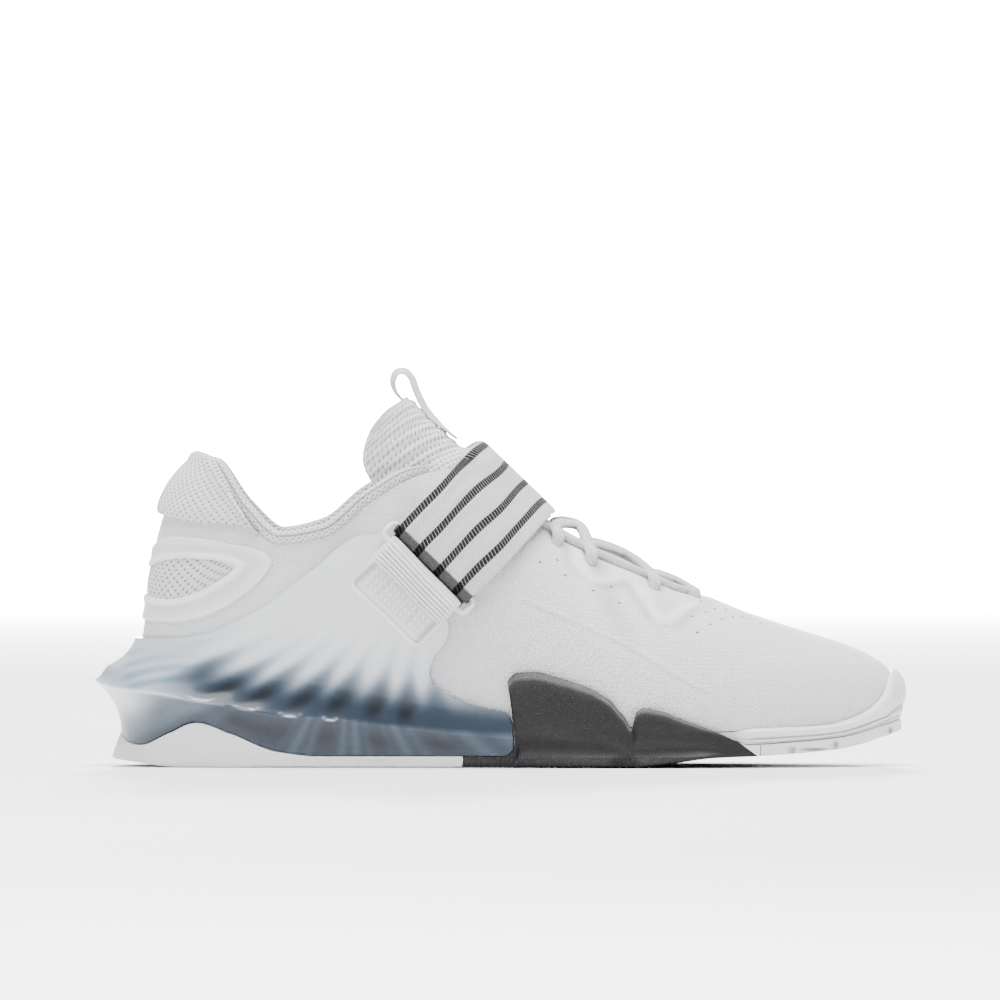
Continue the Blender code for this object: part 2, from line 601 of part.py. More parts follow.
def build_midsole():
    """The white midsole: the footbed, and the foxing that climbs to the bite line round the toe."""
    side = sole_columns()
    u = all_round(side["low_u"], True)
    base, outward = foot(u)
    along = (base[:, 0] - HEEL_BACK) / LAST_LENGTH
    lip = np.clip((along - BITE_START) / 0.03, 0, 1)
    lip = lip * lip * (3 - 2 * lip)
    bed = base[:, 2] - CLEARANCE
    bite = np.maximum(table_curve(BITE_LINE, along) * COLLAR_HEIGHT, bed) * lip + bed * (1 - lip)
    out = -0.0002 + (BUMPER_THICKNESS + 0.0002) * lip
    bottom = underside(base[:, 0]) + SOLE_PLATE + CLEARANCE
    floor, rubber, out_low = outsole_levels(side)
    rubber = np.minimum(np.maximum(bottom, rubber + CLEARANCE), bed - 0.0004)
    shelf = np.where(along > BITE_START - 0.03, rubber, bottom + 0.0005)
    rings = [lay(u, bottom, 0 * u - 0.0002), lay(u, shelf, 0 * u - 0.0002), lay(u, shelf + 0.0001, out)]
    rings.append(lay(u, shelf + (bite - shelf) * 0.5, out))
    rings.append(lay(u, bite - 0.0004 * lip, out - 0.0002 * lip))
    rings.append(lay(u, bite, out - 0.0010 * lip - 0.0001))
    inside = np.where(lip > 0, OVERLAY_SEAT, -0.0004)
    rings += [lay(u, bed + (bite - bed) * share, inside) for share in (1.0, 0.75, 0.5, 0.25)]
    rings.append(lay(u, bed, inside - 0.0001))
    tray("midsole", np.stack(rings), (0.85, 0.86, 0.88), 0.5)


def build_insole():
    """The insole on the footbed, inside the upper's wall."""
    u = upper_columns()
    base, outward = foot(u)
    inset = UPPER_WALL + CLEARANCE + 0.0004
    rings = []
    for rise, pull in ((CLEARANCE, 0.0004), (INSOLE_THICKNESS - 0.0006, 0.0), (INSOLE_THICKNESS, 0.0008)):
        level = base - outward * (inset + pull)
        level[:, 2] = base[:, 2] + rise
        rings.append(level)
    tray("insole", np.stack(rings), (0.72, 0.73, 0.75), 0.85)


# The upper and what is laid over it.

def build_upper():
    """The hollow upper: open underneath, at the collar and down the throat."""
    u = upper_columns()
    v = np.linspace(0, 1, UPPER_ROWS) ** 0.92
    uu, vv = np.meshgrid(u, v)
    outer = rib(uu, vv)
    du, dv = 0.04, 0.004
    along = rib(uu + du, vv) - rib(uu - du, vv)
    up = rib(uu, np.minimum(vv + dv, 1)) - rib(uu, np.maximum(vv - dv, 0))
    ridge = (u >= THROAT_END) & (u <= ROUND - THROAT_END)
    normal = np.cross(along, up)
    normal[-1, u == TOE] = (0.0, 0.0, 1.0)
    normal /= np.linalg.norm(normal, axis=-1, keepdims=True)
    pair = (ROUND - u) % ROUND
    order = np.array([int(np.argmin(np.abs(u - place))) for place in pair])
    mean = normal[-1] + normal[-1, order] * np.array([1, 1, 1])
    mean /= np.linalg.norm(mean, axis=-1, keepdims=True)
    normal[-1, ridge] = mean[ridge]
    inner = outer - normal * UPPER_WALL
    inner[0, :, 2] = outer[0, :, 2]
    rows, columns = outer.shape[:2]
    count = rows * columns
    faces = [grid_faces(rows, columns, 0, True), grid_faces(rows, columns, count, True)[:, ::-1]]
    here = np.arange(columns)
    after = (here + 1) % columns
    faces.append(np.stack([here, after, count + after, count + here], axis=1))
    open_edge = ~(ridge & np.roll(ridge, -1))
    top = (rows - 1) * columns
    rim = np.stack([top + here, top + after, count + top + after, count + top + here], axis=1)
    faces.append(rim[open_edge])
    points = np.concatenate([outer.reshape(-1, 3), inner.reshape(-1, 3)])
    solid("upper", points, np.concatenate(faces), (0.88, 0.89, 0.90), 0.75)


def clip_columns():
    """The sole's columns that the clip shares: those behind the fin's rear edge."""
    side = sole_columns()
    count = int(np.argmax(np.diff(side["top_u"]) < 0)) + 1
    return {name: column[:count] for name, column in side.items()}


def clip_grid():
    """(u, z) points of the clip on the outer side, and the ridge's height at each."""
    side = clip_columns()
    front = side_line(CLIP_FRONT, CLIP_ROWS)
    u = np.append(side["top_u"][side["top_u"] < front[0, 0] - 0.05], front[0, 0])
    line = side_line(CLIP_RIDGE, 60, CLIP_RIDGE_BACK)
    ridge = np.stack([u, np.interp(u, line[:, 0], line[:, 1])], axis=1)
    floor = np.interp(u, side["low_u"], outsole_levels(sole_columns())[0][:len(side["low_u"])])
    seam = np.interp(u, side["top_u"], side["rise"]) * COLLAR_HEIGHT
    seam = np.maximum(seam, floor + SOLE_PLATE + SOLE_EDGE_ROUND / 2) + CLEARANCE
    edge = side_line(CLIP_TOP, 60, CLIP_TOP_BACK)
    pull = np.clip((u - CLIP_EVEN) / (u[-1] - CLIP_EVEN), 0, 1)
    top_u = np.where(u < CLIP_EVEN, u, CLIP_EVEN + (edge[-1, 0] - CLIP_EVEN) * pull)
    top = np.stack([top_u, np.interp(top_u, edge[:, 0], edge[:, 1])], axis=1)
    t = np.linspace(0, 1, CLIP_ROWS)[:, None, None]
    swell = front - (front[0] + (front[-1] - front[0]) * t[:, 0])
    arm = ridge[None] * (1 - t) + top[None] * t + swell[:, None] * pull[None, :, None] ** 1.5
    low = np.stack([u, seam], axis=1)
    wall = [low + (ridge - low) * share for share in (0.0, 0.4, 0.8)]
    grid = np.concatenate([np.stack(wall), arm])
    return grid, np.interp(grid[..., 0], ridge[:, 0], ridge[:, 1])


def build_clip():
    """The translucent heel clip: a ridge all round the heel, and an arm up each side of the instep."""
    grid, ridge_z = clip_grid()
    side = clip_columns()
    u, z = grid[..., 0], grid[..., 1]
    ridge = np.interp(u, side["low_u"], side["out_ridge"]) * HEEL_FLARE
    seam = np.interp(u, side["low_u"], side["out_top"]) * HEEL_FLARE
    above = np.clip((z - ridge_z) / CLIP_SWEEP, 0, 1)
    below = np.clip((ridge_z - z) / np.maximum(ridge_z - z[:1], 0.001), 0, 1)
    face = CLIP_SEAT + CLIP_THICKNESS
    out = np.where(z >= ridge_z - 1e-5, face + (ridge - face) * (1 - above) ** 2.6,
                   seam + (ridge - seam) * (1 - below) ** 2.2)
    full, outs = both_sides(grid), np.concatenate([out[:, :0:-1], out], axis=1)
    stand = np.clip((full[..., 1] / COLLAR_HEIGHT - 0.45) / 0.25, 0, 1) * (full[..., 0] > TOE) * INNER_STAND
    slab("heel_clip", lay(full[..., 0], full[..., 1], outs + stand),
         lay(full[..., 0], full[..., 1], CLIP_SEAT + stand), (0.55, 0.62, 0.72), 0.2)


def build_counter():
    """The moulded counter frame: one band round both windows of the heel."""
    count = 22
    outer = side_line(EYE_OUTER, count, *EYE_OUTER_BACK)
    inner = side_line(EYE_INNER, count, *EYE_INNER_BACK)
    share = np.linspace(0, 1, 4)[:, None, None]
    band = inner[None] * (1 - share) + outer[None] * share
    other = band[:, -2:0:-1].copy()
    other[..., 0] = ROUND - other[..., 0]
    band = np.concatenate([band, other], axis=1)
    ridge = COUNTER_RIDGE * np.array([0.3, 1.0, 1.0, 0.0])[:, None]
    out = OVERLAY_SEAT + COUNTER_THICKNESS + ridge + 0 * band[..., 0]
    slab("counter_frame", lay(band[..., 0], band[..., 1], out),
         lay(band[..., 0], band[..., 1], OVERLAY_SEAT + 0 * out), (0.84, 0.85, 0.87), 0.45, True)


def edge_frame(u):
    """The top edge at u with the directions up along the rib and out of the wall."""
    rise = rib(u, 1 + 0 * u) - rib(u, 0.98 + 0 * u)
    rise /= np.linalg.norm(rise, axis=-1, keepdims=True)
    along = head(u + 0.04) - head(u - 0.04)
    out = np.cross(along, rise)
    out /= np.linalg.norm(out, axis=-1, keepdims=True)
    return head(u), rise, out


def build_pad():
    """The padded heel fin under the collar's back, standing up behind the collar roll."""
    count, rows = 12, 6
    low = side_line(PAD_LOW, count, PAD_LOW_BACK)
    high = np.stack([low[:, 0], head(low[:, 0])[:, 2] - 0.0012], axis=1)
    grid = patch(low, high, np.linspace(low[0], high[0], rows), np.linspace(low[-1], high[-1], rows))
    across = np.sin(np.linspace(0, 1, rows) * math.pi)[:, None] ** 0.6
    along = (1 - np.linspace(0, 1, count) ** 2.5)[None]
    out = OVERLAY_SEAT + 0.0008 + (PAD_THICKNESS - 0.0008) * along * (0.35 + 0.65 * across)
    full, outs = both_sides(grid), np.concatenate([out[:, :0:-1], out], axis=1)
    outer = lay(full[..., 0], full[..., 1], outs)
    inner = lay(full[..., 0], full[..., 1], OVERLAY_SEAT + 0 * outs)
    edge, rise, outward = edge_frame(full[-1, :, 0])
    lip = np.concatenate([along[0, :0:-1], along[0]])[:, None]
    foot_of_lip = edge + rise * (PAD_LIP * lip - 0.0006)
    stand = ROLL_WIDTH / 2 + CLEARANCE
    outer = np.concatenate([outer, (foot_of_lip + outward * (stand + 0.0008))[None]])
    inner = np.concatenate([inner, (foot_of_lip + outward * stand)[None]])
    slab("heel_pad", outer, inner, (0.80, 0.81, 0.83), 0.9)


def build_roll():
    """The knit collar roll along the top edge, from one side of the instep round the heel to the other."""
    here = np.array([u for u in STATIONS if u <= COLLAR_FRONT])
    u = np.concatenate([-here[:0:-1], here])
    edge, rise, out = edge_frame(np.mod(u, ROUND))
    square = np.cross(out, np.gradient(edge, axis=0))
    square /= np.linalg.norm(square, axis=1, keepdims=True)
    square *= np.sign((square * rise).sum(1, keepdims=True))
    path = edge + square * (OVERLAY_SEAT + ROLL_HEIGHT / 2) - out * UPPER_WALL * 0.6
    tube("collar_roll", path, ROLL_WIDTH, ROLL_HEIGHT, out, (0.82, 0.83, 0.85))


def tongue_rows():
    """Five points across the tongue and its half thickness, for each of its rows from throat to top."""
    rows = []
    for at, up, crown in TONGUE_TUCK:
        u = np.array([at, ROUND - at])
        edge, rise, out = edge_frame(u)
        depth = UPPER_WALL + CLEARANCE + OVERLAY_SEAT + TONGUE_EDGE / 2
        tucked = rib(u, np.array([up, up]))
        tucked = tucked - normals(u, tucked[:, 2]) * depth
        under = edge - out * depth
        middle = under.mean(0) + out.mean(0) * crown
        rows.append((np.stack([tucked[0], under[0], middle, under[1], tucked[1]]), TONGUE_EDGE / 2))
    turn = np.radians([80.0, 42.0, 0.0, 42.0, 80.0])
    side = np.array([-1.0, -1.0, 0.0, 1.0, 1.0])
    for along, height, edge_along, edge_height, half in TONGUE_TOP:
        middle = np.array([along * LAST_LENGTH + HEEL_BACK, 0.0, height * COLLAR_HEIGHT])
        edge = np.array([edge_along * LAST_LENGTH + HEEL_BACK, 0.0, edge_height * COLLAR_HEIGHT])
        back = (1 - np.cos(turn)) / (1 - math.cos(turn[0]))
        points = middle + (edge - middle) * back[:, None]
        points[:, 1] = side * half * BALL_WIDTH * np.sin(turn) / math.sin(turn[0])
        rows.append((points, TONGUE_THICKNESS / 2))
    return rows


def tongue_surface(count=11):
    """The tongue's middle surface as a grid of points, and its half thickness."""
    lean = np.linspace(-1, 1, count)
    rows = tongue_rows()
    grid = np.stack([outline(points, count) for points, half in rows])
    thick = np.stack([half * (0.55 + 0.45 * np.cos(lean * math.pi / 2)) for points, half in rows])
    return grid, thick


def surface_normals(grid):
    """Unit normals of a grid of points."""
    normal = np.cross(np.gradient(grid, axis=1), np.gradient(grid, axis=0))
    return normal / np.linalg.norm(normal, axis=-1, keepdims=True)


def build_tongue():
    """The padded tongue: tucked under the throat's edges, and wrapped round the ankle above them."""
    grid, thick = tongue_surface()
    normal = surface_normals(grid) * thick[..., None]
    if normal[3, 5, 2] < 0:
        normal = -normal
    slab("tongue", grid + normal, grid - normal, (0.80, 0.81, 0.83), 0.9)


def build_pull_loop():
    """The pull loop on the tongue's front and top."""
    path = outline([(a * LAST_LENGTH + HEEL_BACK, 0.0, h * COLLAR_HEIGHT) for a, h in LOOP_PATH], 24)
    ahead = np.gradient(path, axis=0)
    ahead /= np.linalg.norm(ahead, axis=1, keepdims=True)
    side = np.array([0.0, 1.0, 0.0])
    out = np.cross(side, ahead)
    rows = np.linspace(-1, 1, 3)[:, None, None] * side * LOOP_WIDTH / 2
    slab("pull_loop", path + rows + out * LOOP_THICKNESS / 2, path + rows - out * LOOP_THICKNESS / 2,
         (0.85, 0.86, 0.88), 0.7)


# The strap, its ring and its patch. A place on the side is given by its distance down the strap's line from the
# instep's crest and its distance forward of the strap's middle.

def strap_axes():
    """The direction across the strap and the direction out of the instep."""
    c, s = math.cos(STRAP_SLOPE), math.sin(STRAP_SLOPE)
    return np.array([c, 0.0, -s]), np.array([s, 0.0, c])


def strap_side(down, forward, out, inner=False):
    """Points on the shoe's side under the strap's line, standing the distance out off it."""
    across, rise = strap_axes()
    crest = np.array([STRAP_CREST_X, 0.0, STRAP_CREST_Z])
    spot = crest + across * np.asarray(forward)[..., None] - rise * np.asarray(down)[..., None]
    u = place_u((spot[..., 0] - HEEL_BACK) / LAST_LENGTH, spot[..., 2] / COLLAR_HEIGHT)
    if inner:
        u = ROUND - u
    return lay(u, spot[..., 2], out)


def strap_layer(forward, end_out, out, depth):
    """One layer of the strap over the instep, from the ring's side to the other, for one place in its width."""
    across, rise = strap_axes()
    crest = np.array([STRAP_CREST_X, 0.0, STRAP_CREST_Z]) + across * forward
    downs = STRAP_DROP * np.array([1.0, 0.8, 0.6, 0.42])
    flat = 0 * downs + forward
    here = strap_side(downs, flat, end_out + (out - end_out) * np.array([0.0, 0.45, 0.85, 1.0]))
    there = strap_side(downs[::-1], flat, out + INNER_STAND + 0 * downs, True)
    edge_u = np.linspace(6.8, 9.8, 31)
    forwards = (head(edge_u) - np.array([STRAP_CREST_X, 0.0, STRAP_CREST_Z])) @ across
    at = float(np.interp(forward, forwards, edge_u))
    edge, climb, outward = edge_frame(np.array([at, ROUND - at]))
    shoulders = edge + outward * (out + CLIP_SEAT)
    top = crest - rise * depth
    return np.concatenate([here, shoulders[:1], [top], shoulders[1:], there])


# How far out the middles of the layers lie: the patch's plate, the strap's inner layer, its outer layer away
# from the ring and at the ring, and the ring's two bars.
CLIP_FACE = CLIP_THICKNESS + CLIP_SEAT + CLEARANCE
INNER_LAYER = CLIP_SEAT + STRAP_THICKNESS / 2
OUTER_LAYER = INNER_LAYER + STRAP_THICKNESS + 2 * CLEARANCE
STRAP_BAR_OUT = INNER_LAYER + STRAP_THICKNESS / 2 + CLEARANCE + BAR_RADIUS
PATCH_BAR_OUT = CLIP_FACE + PATCH_THICKNESS + CLEARANCE + BAR_RADIUS
RING_LAYER = STRAP_BAR_OUT + BAR_RADIUS + CLEARANCE + STRAP_THICKNESS / 2
CREST_OUTER = STRAP_THICKNESS / 2
CREST_INNER = CREST_OUTER + STRAP_THICKNESS + 2 * CLEARANCE


def fold(forward, down, radius, centre_out, towards):
    """Points of a half turn round a bar, from the layer under it to the layer over it."""
    angle = np.radians(np.array([-64.0, -32.0, 0.0, 32.0, 64.0]))
    downs = down + towards * radius * np.cos(angle)
    return strap_side(downs, forward + 0 * downs, centre_out + radius * np.sin(angle))


def ribbon(name, lines, thickness, colour, steps, roughness=0.8):
    """A flat band: one line of points for each place in its width, thickened to both sides."""
    grid = np.stack([through(line, steps) for line in lines])
    normal = surface_normals(grid) * thickness / 2
    return slab(name, grid + normal, grid - normal, colour, roughness)


def build_strap():
    """The strap: up from the inner side under itself, round the ring, and back over the instep."""
    radius = BAR_RADIUS + CLEARANCE + STRAP_THICKNESS / 2
    lines = []
    for forward in np.linspace(-0.5, 0.5, 3) * STRAP_WIDTH:
        under = strap_layer(forward, INNER_LAYER, INNER_LAYER, CREST_INNER)[::-1]
        root = strap_side(np.array([STRAP_DROP * 1.08]), np.array([forward]),
                          np.array([INNER_LAYER + INNER_STAND]), True)
        over = strap_layer(forward, RING_LAYER, OUTER_LAYER, CREST_OUTER)
        turn = fold(forward, STRAP_DROP + 0.0005, radius, STRAP_BAR_OUT, 1.0)
        lines.append(np.concatenate([root, under, turn, over]))
    ribbon("strap", lines, STRAP_THICKNESS, (0.80, 0.81, 0.83), 2)


def build_ring():
    """The ring of the strap: a rounded rectangle of round wire lying on the clip's arm."""
    half = STRAP_WIDTH / 2 + BAR_RADIUS + 0.0008
    top = STRAP_DROP + 0.0005
    bottom = top + RING_REACH
    corners = []
    bend = 0.0018
    for down, forward, start in ((bottom, half, 0), (bottom, -half, 90), (top, -half, 180), (top, half, 270)):
        centre_down = down - bend if down == bottom else down + bend
        centre_forward = forward - bend if forward > 0 else forward + bend
        for turn in (0, 45, 90):
            angle = math.radians(start + turn)
            side_step = bend * math.cos(angle)
            down_step = bend * math.sin(angle)
            corners.append((centre_down + down_step, centre_forward + side_step))
        if start in (0, 180):
            ends = (forward - bend, bend - forward) if forward > 0 else (forward + bend, -forward - bend)
            corners += [(down, ends[0] + (ends[1] - ends[0]) * share) for share in (0.2, 0.4, 0.6, 0.8)]
    down, forward = np.array(corners).T
    lift = STRAP_BAR_OUT + (PATCH_BAR_OUT - STRAP_BAR_OUT) * (down - top) / RING_REACH
    path = strap_side(down, forward, lift)
    normal = np.broadcast_to(np.array([0.0, -1.0, 0.0]), path.shape)
    tube("strap_ring", path, 2 * BAR_RADIUS, 2 * BAR_RADIUS, normal, (0.86, 0.87, 0.89), 8, True)


def build_patch():
    """The anchor patch on the clip's arm: a plate whose band is folded round the ring's lower bar."""
    bar = STRAP_DROP + 0.0005 + RING_REACH
    low = CLIP_FACE + PATCH_THICKNESS / 2
    radius = BAR_RADIUS + CLEARANCE + PATCH_THICKNESS / 2
    lines = []
    for forward in np.linspace(-0.5, 0.5, 4) * (STRAP_WIDTH - 0.0030):
        downs = bar + np.array([PATCH_LENGTH, PATCH_LENGTH * 0.66, PATCH_LENGTH * 0.33, 0.0020])
        place = forward + 0 * downs
        plate = strap_side(downs, place, low + 0 * downs)
        turn = fold(forward, bar, radius, PATCH_BAR_OUT, -1.0)
        back = bar + np.array([0.0015, 0.0050, 0.0085])
        over = strap_side(back, forward + 0 * back, PATCH_BAR_OUT + radius - np.array([0.0, 0.0008, 0.0014]))
        lines.append(np.concatenate([plate, turn, over]))
    ribbon("strap_anchor", lines, PATCH_THICKNESS, (0.88, 0.89, 0.91), 2, 0.5)


def build_laces():
    """Lace crossings over the tongue, joined where they cross and meet at the eyelets."""
    spots = []
    for at, up, rise_over in EYELETS:
        u = np.array([at, ROUND - at])
        point = rib(u, np.array([up, up]))
        lift = normals(u, point[:, 2]) * (CLEARANCE + LACE_THICKNESS / 2 + 0.0002)
        edge, rise, out = edge_frame(u)
        over = edge + out * (CLEARANCE + LACE_THICKNESS / 2 + 0.0004)
        crown = edge.mean(0) + out.mean(0) * rise_over
        spots.append((point + lift, over, crown))
    runs = [(0, 0, 1, 0)]
    for i in range(len(spots) - 1):
        runs += [(i, i + 1, 0, 1), (i, i + 1, 1, 0)]
    pieces = []
    for number, run in enumerate(runs):
        start, end, side_a, side_b = run if number else (0, 0, 0, 1)
        crest = (spots[start][2] + spots[end][2]) / 2
        line = [spots[start][0][side_a], spots[start][1][side_a], crest, spots[end][1][side_b],
                spots[end][0][side_b]]
        path = through(line, 2)[[0, 2, 3, 4, 5, 6, 8]]
        across = np.broadcast_to(np.array([1.0, 0.0, -0.5]), path.shape)
        pieces.append(tube(f"lace_{number}", path, LACE_WIDTH, LACE_THICKNESS, across, (0.86, 0.87, 0.88), 6))
    whole = pieces[0]
    whole.name = "laces"
    for part in pieces[1:]:
        join = whole.modifiers.new("join", "BOOLEAN")
        join.operation = "UNION"
        join.object = part
        part.hide_render = True
        part.display_type = "WIRE"


def main():
    for old in list(bpy.data.objects):
        bpy.data.objects.remove(old, do_unlink=True)
    build_outsoles()
    build_midsole()
    build_insole()
    build_upper()
    build_clip()
    build_counter()
    build_pad()
    build_roll()
    build_tongue()
    build_pull_loop()
    build_strap()
    build_ring()
    build_patch()
    build_laces()


main()
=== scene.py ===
import logging
import math
from dataclasses import dataclass, field
from enum import Enum
from typing import Iterable, Optional, Sequence

import bmesh
import bpy
import numpy as np
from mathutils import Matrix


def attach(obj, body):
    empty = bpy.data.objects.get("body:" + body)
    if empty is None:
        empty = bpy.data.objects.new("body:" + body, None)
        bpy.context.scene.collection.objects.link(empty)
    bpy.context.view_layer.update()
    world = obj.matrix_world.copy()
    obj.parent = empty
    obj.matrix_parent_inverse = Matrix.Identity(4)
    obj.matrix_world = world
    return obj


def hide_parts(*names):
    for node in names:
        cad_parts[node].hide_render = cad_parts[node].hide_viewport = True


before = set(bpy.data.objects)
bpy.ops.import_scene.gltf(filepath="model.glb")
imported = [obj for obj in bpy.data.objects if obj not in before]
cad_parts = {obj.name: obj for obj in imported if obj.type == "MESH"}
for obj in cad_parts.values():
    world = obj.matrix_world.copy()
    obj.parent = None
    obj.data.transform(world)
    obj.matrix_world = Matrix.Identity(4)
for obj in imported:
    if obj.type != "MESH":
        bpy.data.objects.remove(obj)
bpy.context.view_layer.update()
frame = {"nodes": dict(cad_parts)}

PIXEL = 0.00037
ORIGIN_PX = 235.0
FLOOR_PX = 766.0

Array = np.ndarray
Colour = tuple[float, float, float]
log = logging.getLogger("shoe")


# Curves through given values.

def unit(vectors: Array) -> Array:
    """Vectors brought to length 1, and those of no length left as they are.

    Args:
        vectors: Vectors along the last axis.

    Returns:
        Unit vectors.
    """
    return vectors / np.maximum(np.linalg.norm(vectors, axis=-1, keepdims=True), 1e-12)


def run_lengths(grid: Array) -> Array:
    """Lengths run along a line of points, or down each column of a grid, from 0 at the first.

    Args:
        grid: Points, one row each, or rows by columns of them.

    Returns:
        Lengths, one for each point.
    """
    steps = np.linalg.norm(np.diff(grid, axis=0), axis=-1)
    return np.concatenate([np.zeros((1,) + steps.shape[1:]), np.cumsum(steps, axis=0)])


def hermite(values: Array, slopes: Array, at: Array) -> Array:
    """Reads a smooth curve through evenly numbered values at fractional numbers.

    The curve between two values is the cubic with their heights and slopes:
    (1+2t)(1-t)^2 a + t(1-t)^2 a' + t^2(3-2t) b + t^2(t-1) b'.

    Args:
        values: Values, one row each.
        slopes: Slope of the curve at each value.
        at: Fractional row numbers.

    Returns:
        The curve at those places.
    """
    at = np.asarray(at, float)
    low = np.clip(np.floor(at).astype(int), 0, len(values) - 2)
    t = (at - low).reshape(at.shape + (1,) * (values.ndim - 1))
    here = (1 + 2 * t) * (1 - t) ** 2 * values[low] + t * (1 - t) ** 2 * slopes[low]
    return here + t * t * (3 - 2 * t) * values[low + 1] + t * t * (t - 1) * slopes[low + 1]


def even_slopes(values: Array) -> Array:
    """Slopes that never overshoot: the harmonic mean of the steps, and nought where they change sign.

    Args:
        values: Evenly numbered values.

    Returns:
        One slope for each value.
    """
    steps = np.diff(values, axis=0)
    before, after = steps[:-1], steps[1:]
    product = before * after
    whole = before + after
    mean = 2 * product / np.where(np.abs(whole) < 1e-12, 1.0, whole)
    inner = np.where(product > 0, mean, 0.0)
    return np.concatenate([steps[:1], inner, steps[-1:]])


def chord_curve(points: Array, at: Array) -> Array:
    """A smooth curve through points, read at shares of the length of its chords.

    Each span is the cubic of hermite, with slopes taken by finite differences over chord length.

    Args:
        points: Points, one row each.
        at: Shares from 0 to 1.

    Returns:
        Points on the curve.
    """
    points = np.array(points, float)
    steps = np.linalg.norm(np.diff(points, axis=0), axis=1)
    length = np.concatenate([[0], np.cumsum(steps)])
    slopes = np.gradient(points, length, axis=0)
    where = np.asarray(at) * length[-1]
    low = np.clip(np.searchsorted(length, where, "right") - 1, 0, len(steps) - 1)
    t = ((where - length[low]) / steps[low])[:, None]
    span = steps[low][:, None]
    here = (1 + 2 * t) * (1 - t) ** 2 * points[low] + t * (1 - t) ** 2 * span * slopes[low]
    return here + t * t * (3 - 2 * t) * points[low + 1] + t * t * (t - 1) * span * slopes[low + 1]


def outline(points: Array, count: int) -> Array:
    """Count points spaced evenly along a smooth curve through points.

    Args:
        points: Points, one row each.
        count: How many to return.

    Returns:
        Points on the curve.
    """
    return chord_curve(points, np.linspace(0, 1, count))


def through(points: Array, steps: int) -> Array:
    """A smooth curve through points, with each span between two of them cut into steps.

    Args:
        points: Points, one row each.
        steps: Steps in each span.

    Returns:
        Points on the curve, so that the same span of two such curves has the same numbers.
    """
    length = run_lengths(np.array(points, float))
    spans = len(length) - 1
    index = np.linspace(0, spans, spans * steps + 1)
    return chord_curve(points, np.interp(index, np.arange(len(length)), length) / length[-1])


def smooth(low: float, high: float, value: Array) -> Array:
    """A soft step: 3t^2 - 2t^3 of value between low and high, held at 0 and 1 outside.

    Args:
        low: Where it starts to rise.
        high: Where it has risen.
        value: Values to read.

    Returns:
        Shares from 0 to 1.
    """
    t = np.clip((value - low) / (high - low), 0, 1)
    return t * t * (3 - 2 * t)


def swell(centre: float, width: float, value: Array) -> Array:
    """A bell: exp of minus the square of the distance from centre over width.

    Args:
        centre: Where it is 1.
        width: Distance at which it has fallen to 1/e.
        value: Values to read.

    Returns:
        Shares from 0 to 1.
    """
    return np.exp(-((value - centre) / width) ** 2)


def table_curve(rows: Sequence[Sequence[float]], at: Array, column: int = 1) -> Array:
    """Reads a table of rows (place, values...) with a curve that never overshoots.

    Args:
        rows: The table, in rising order of place.
        at: Places to read.
        column: Which value of a row.

    Returns:
        The values there.
    """
    places = np.array([row[0] for row in rows], float)
    values = np.array([row[column] for row in rows], float)
    index = np.interp(at, places, np.arange(len(places)))
    return hermite(values, even_slopes(values), index)


# The last: the same ribs, in the same words, as the solids are cut from.

RIB_COLUMNS = ("foot_along", "foot_outer", "foot_inner", "lift", "head_along", "head_middle", "half_outer",
               "half_inner", "height_outer", "height_inner", "flare", "lean", "full")
RIBS = (
    (0.000, 0.000, 0.000, 1.000, 0.080, 0.000, 0.000, 0.000, 0.996, 0.996, -12, 46, 0.92),
    (0.020, 0.192, 0.192, 1.000, 0.098, 0.000, 0.141, 0.141, 0.984, 0.984, -6, 38, 0.92),
    (0.077, 0.313, 0.308, 0.985, 0.138, 0.000, 0.242, 0.242, 0.838, 0.848, 4, 22, 1.00),
    (0.152, 0.348, 0.333, 0.956, 0.191, 0.000, 0.313, 0.308, 0.732, 0.745, 6, 12, 1.00),
    (0.234, 0.354, 0.323, 0.897, 0.252, 0.000, 0.348, 0.338, 0.758, 0.775, 6, 10, 1.00),
    (0.309, 0.359, 0.318, 0.794, 0.312, 0.000, 0.343, 0.333, 0.873, 0.887, 5, 16, 1.00),
    (0.380, 0.369, 0.318, 0.676, 0.370, 0.000, 0.303, 0.298, 0.955, 0.965, 4, 28, 1.00),
    (0.445, 0.389, 0.333, 0.574, 0.430, 0.005, 0.222, 0.222, 0.985, 0.993, 4, 45, 1.00),
    (0.509, 0.424, 0.364, 0.485, 0.487, 0.010, 0.187, 0.187, 0.879, 0.884, 4, 55, 1.00),
    (0.588, 0.475, 0.414, 0.421, 0.562, 0.015, 0.167, 0.167, 0.753, 0.757, 4, 64, 1.00),
    (0.670, 0.500, 0.470, 0.391, 0.655, 0.020, 0.146, 0.146, 0.641, 0.643, 5, 72, 1.00),
    (0.752, 0.475, 0.500, 0.391, 0.723, 0.025, 0.111, 0.111, 0.570, 0.570, 8, 82, 1.00),
    (0.823, 0.424, 0.490, 0.412, 0.754, 0.030, 0.000, 0.000, 0.557, 0.557, 10, 90, 1.02),
    (0.887, 0.343, 0.449, 0.450, 0.809, 0.040, 0.000, 0.000, 0.504, 0.504, 12, 90, 1.06),
    (0.943, 0.237, 0.379, 0.500, 0.863, 0.051, 0.000, 0.000, 0.459, 0.459, 16, 90, 1.12),
    (0.984, 0.091, 0.268, 0.550, 0.905, 0.061, 0.000, 0.000, 0.426, 0.426, 19, 90, 1.20),
    (1.000, -0.086, 0.086, 0.574, 0.927, 0.071, 0.000, 0.000, 0.409, 0.409, 19, 90, 1.24),
)
TOE = len(RIBS) - 1
ROUND = 2 * TOE


class Side(Enum):
    """The two sides of the shoe."""

    OUTER = "outer"
    INNER = "inner"


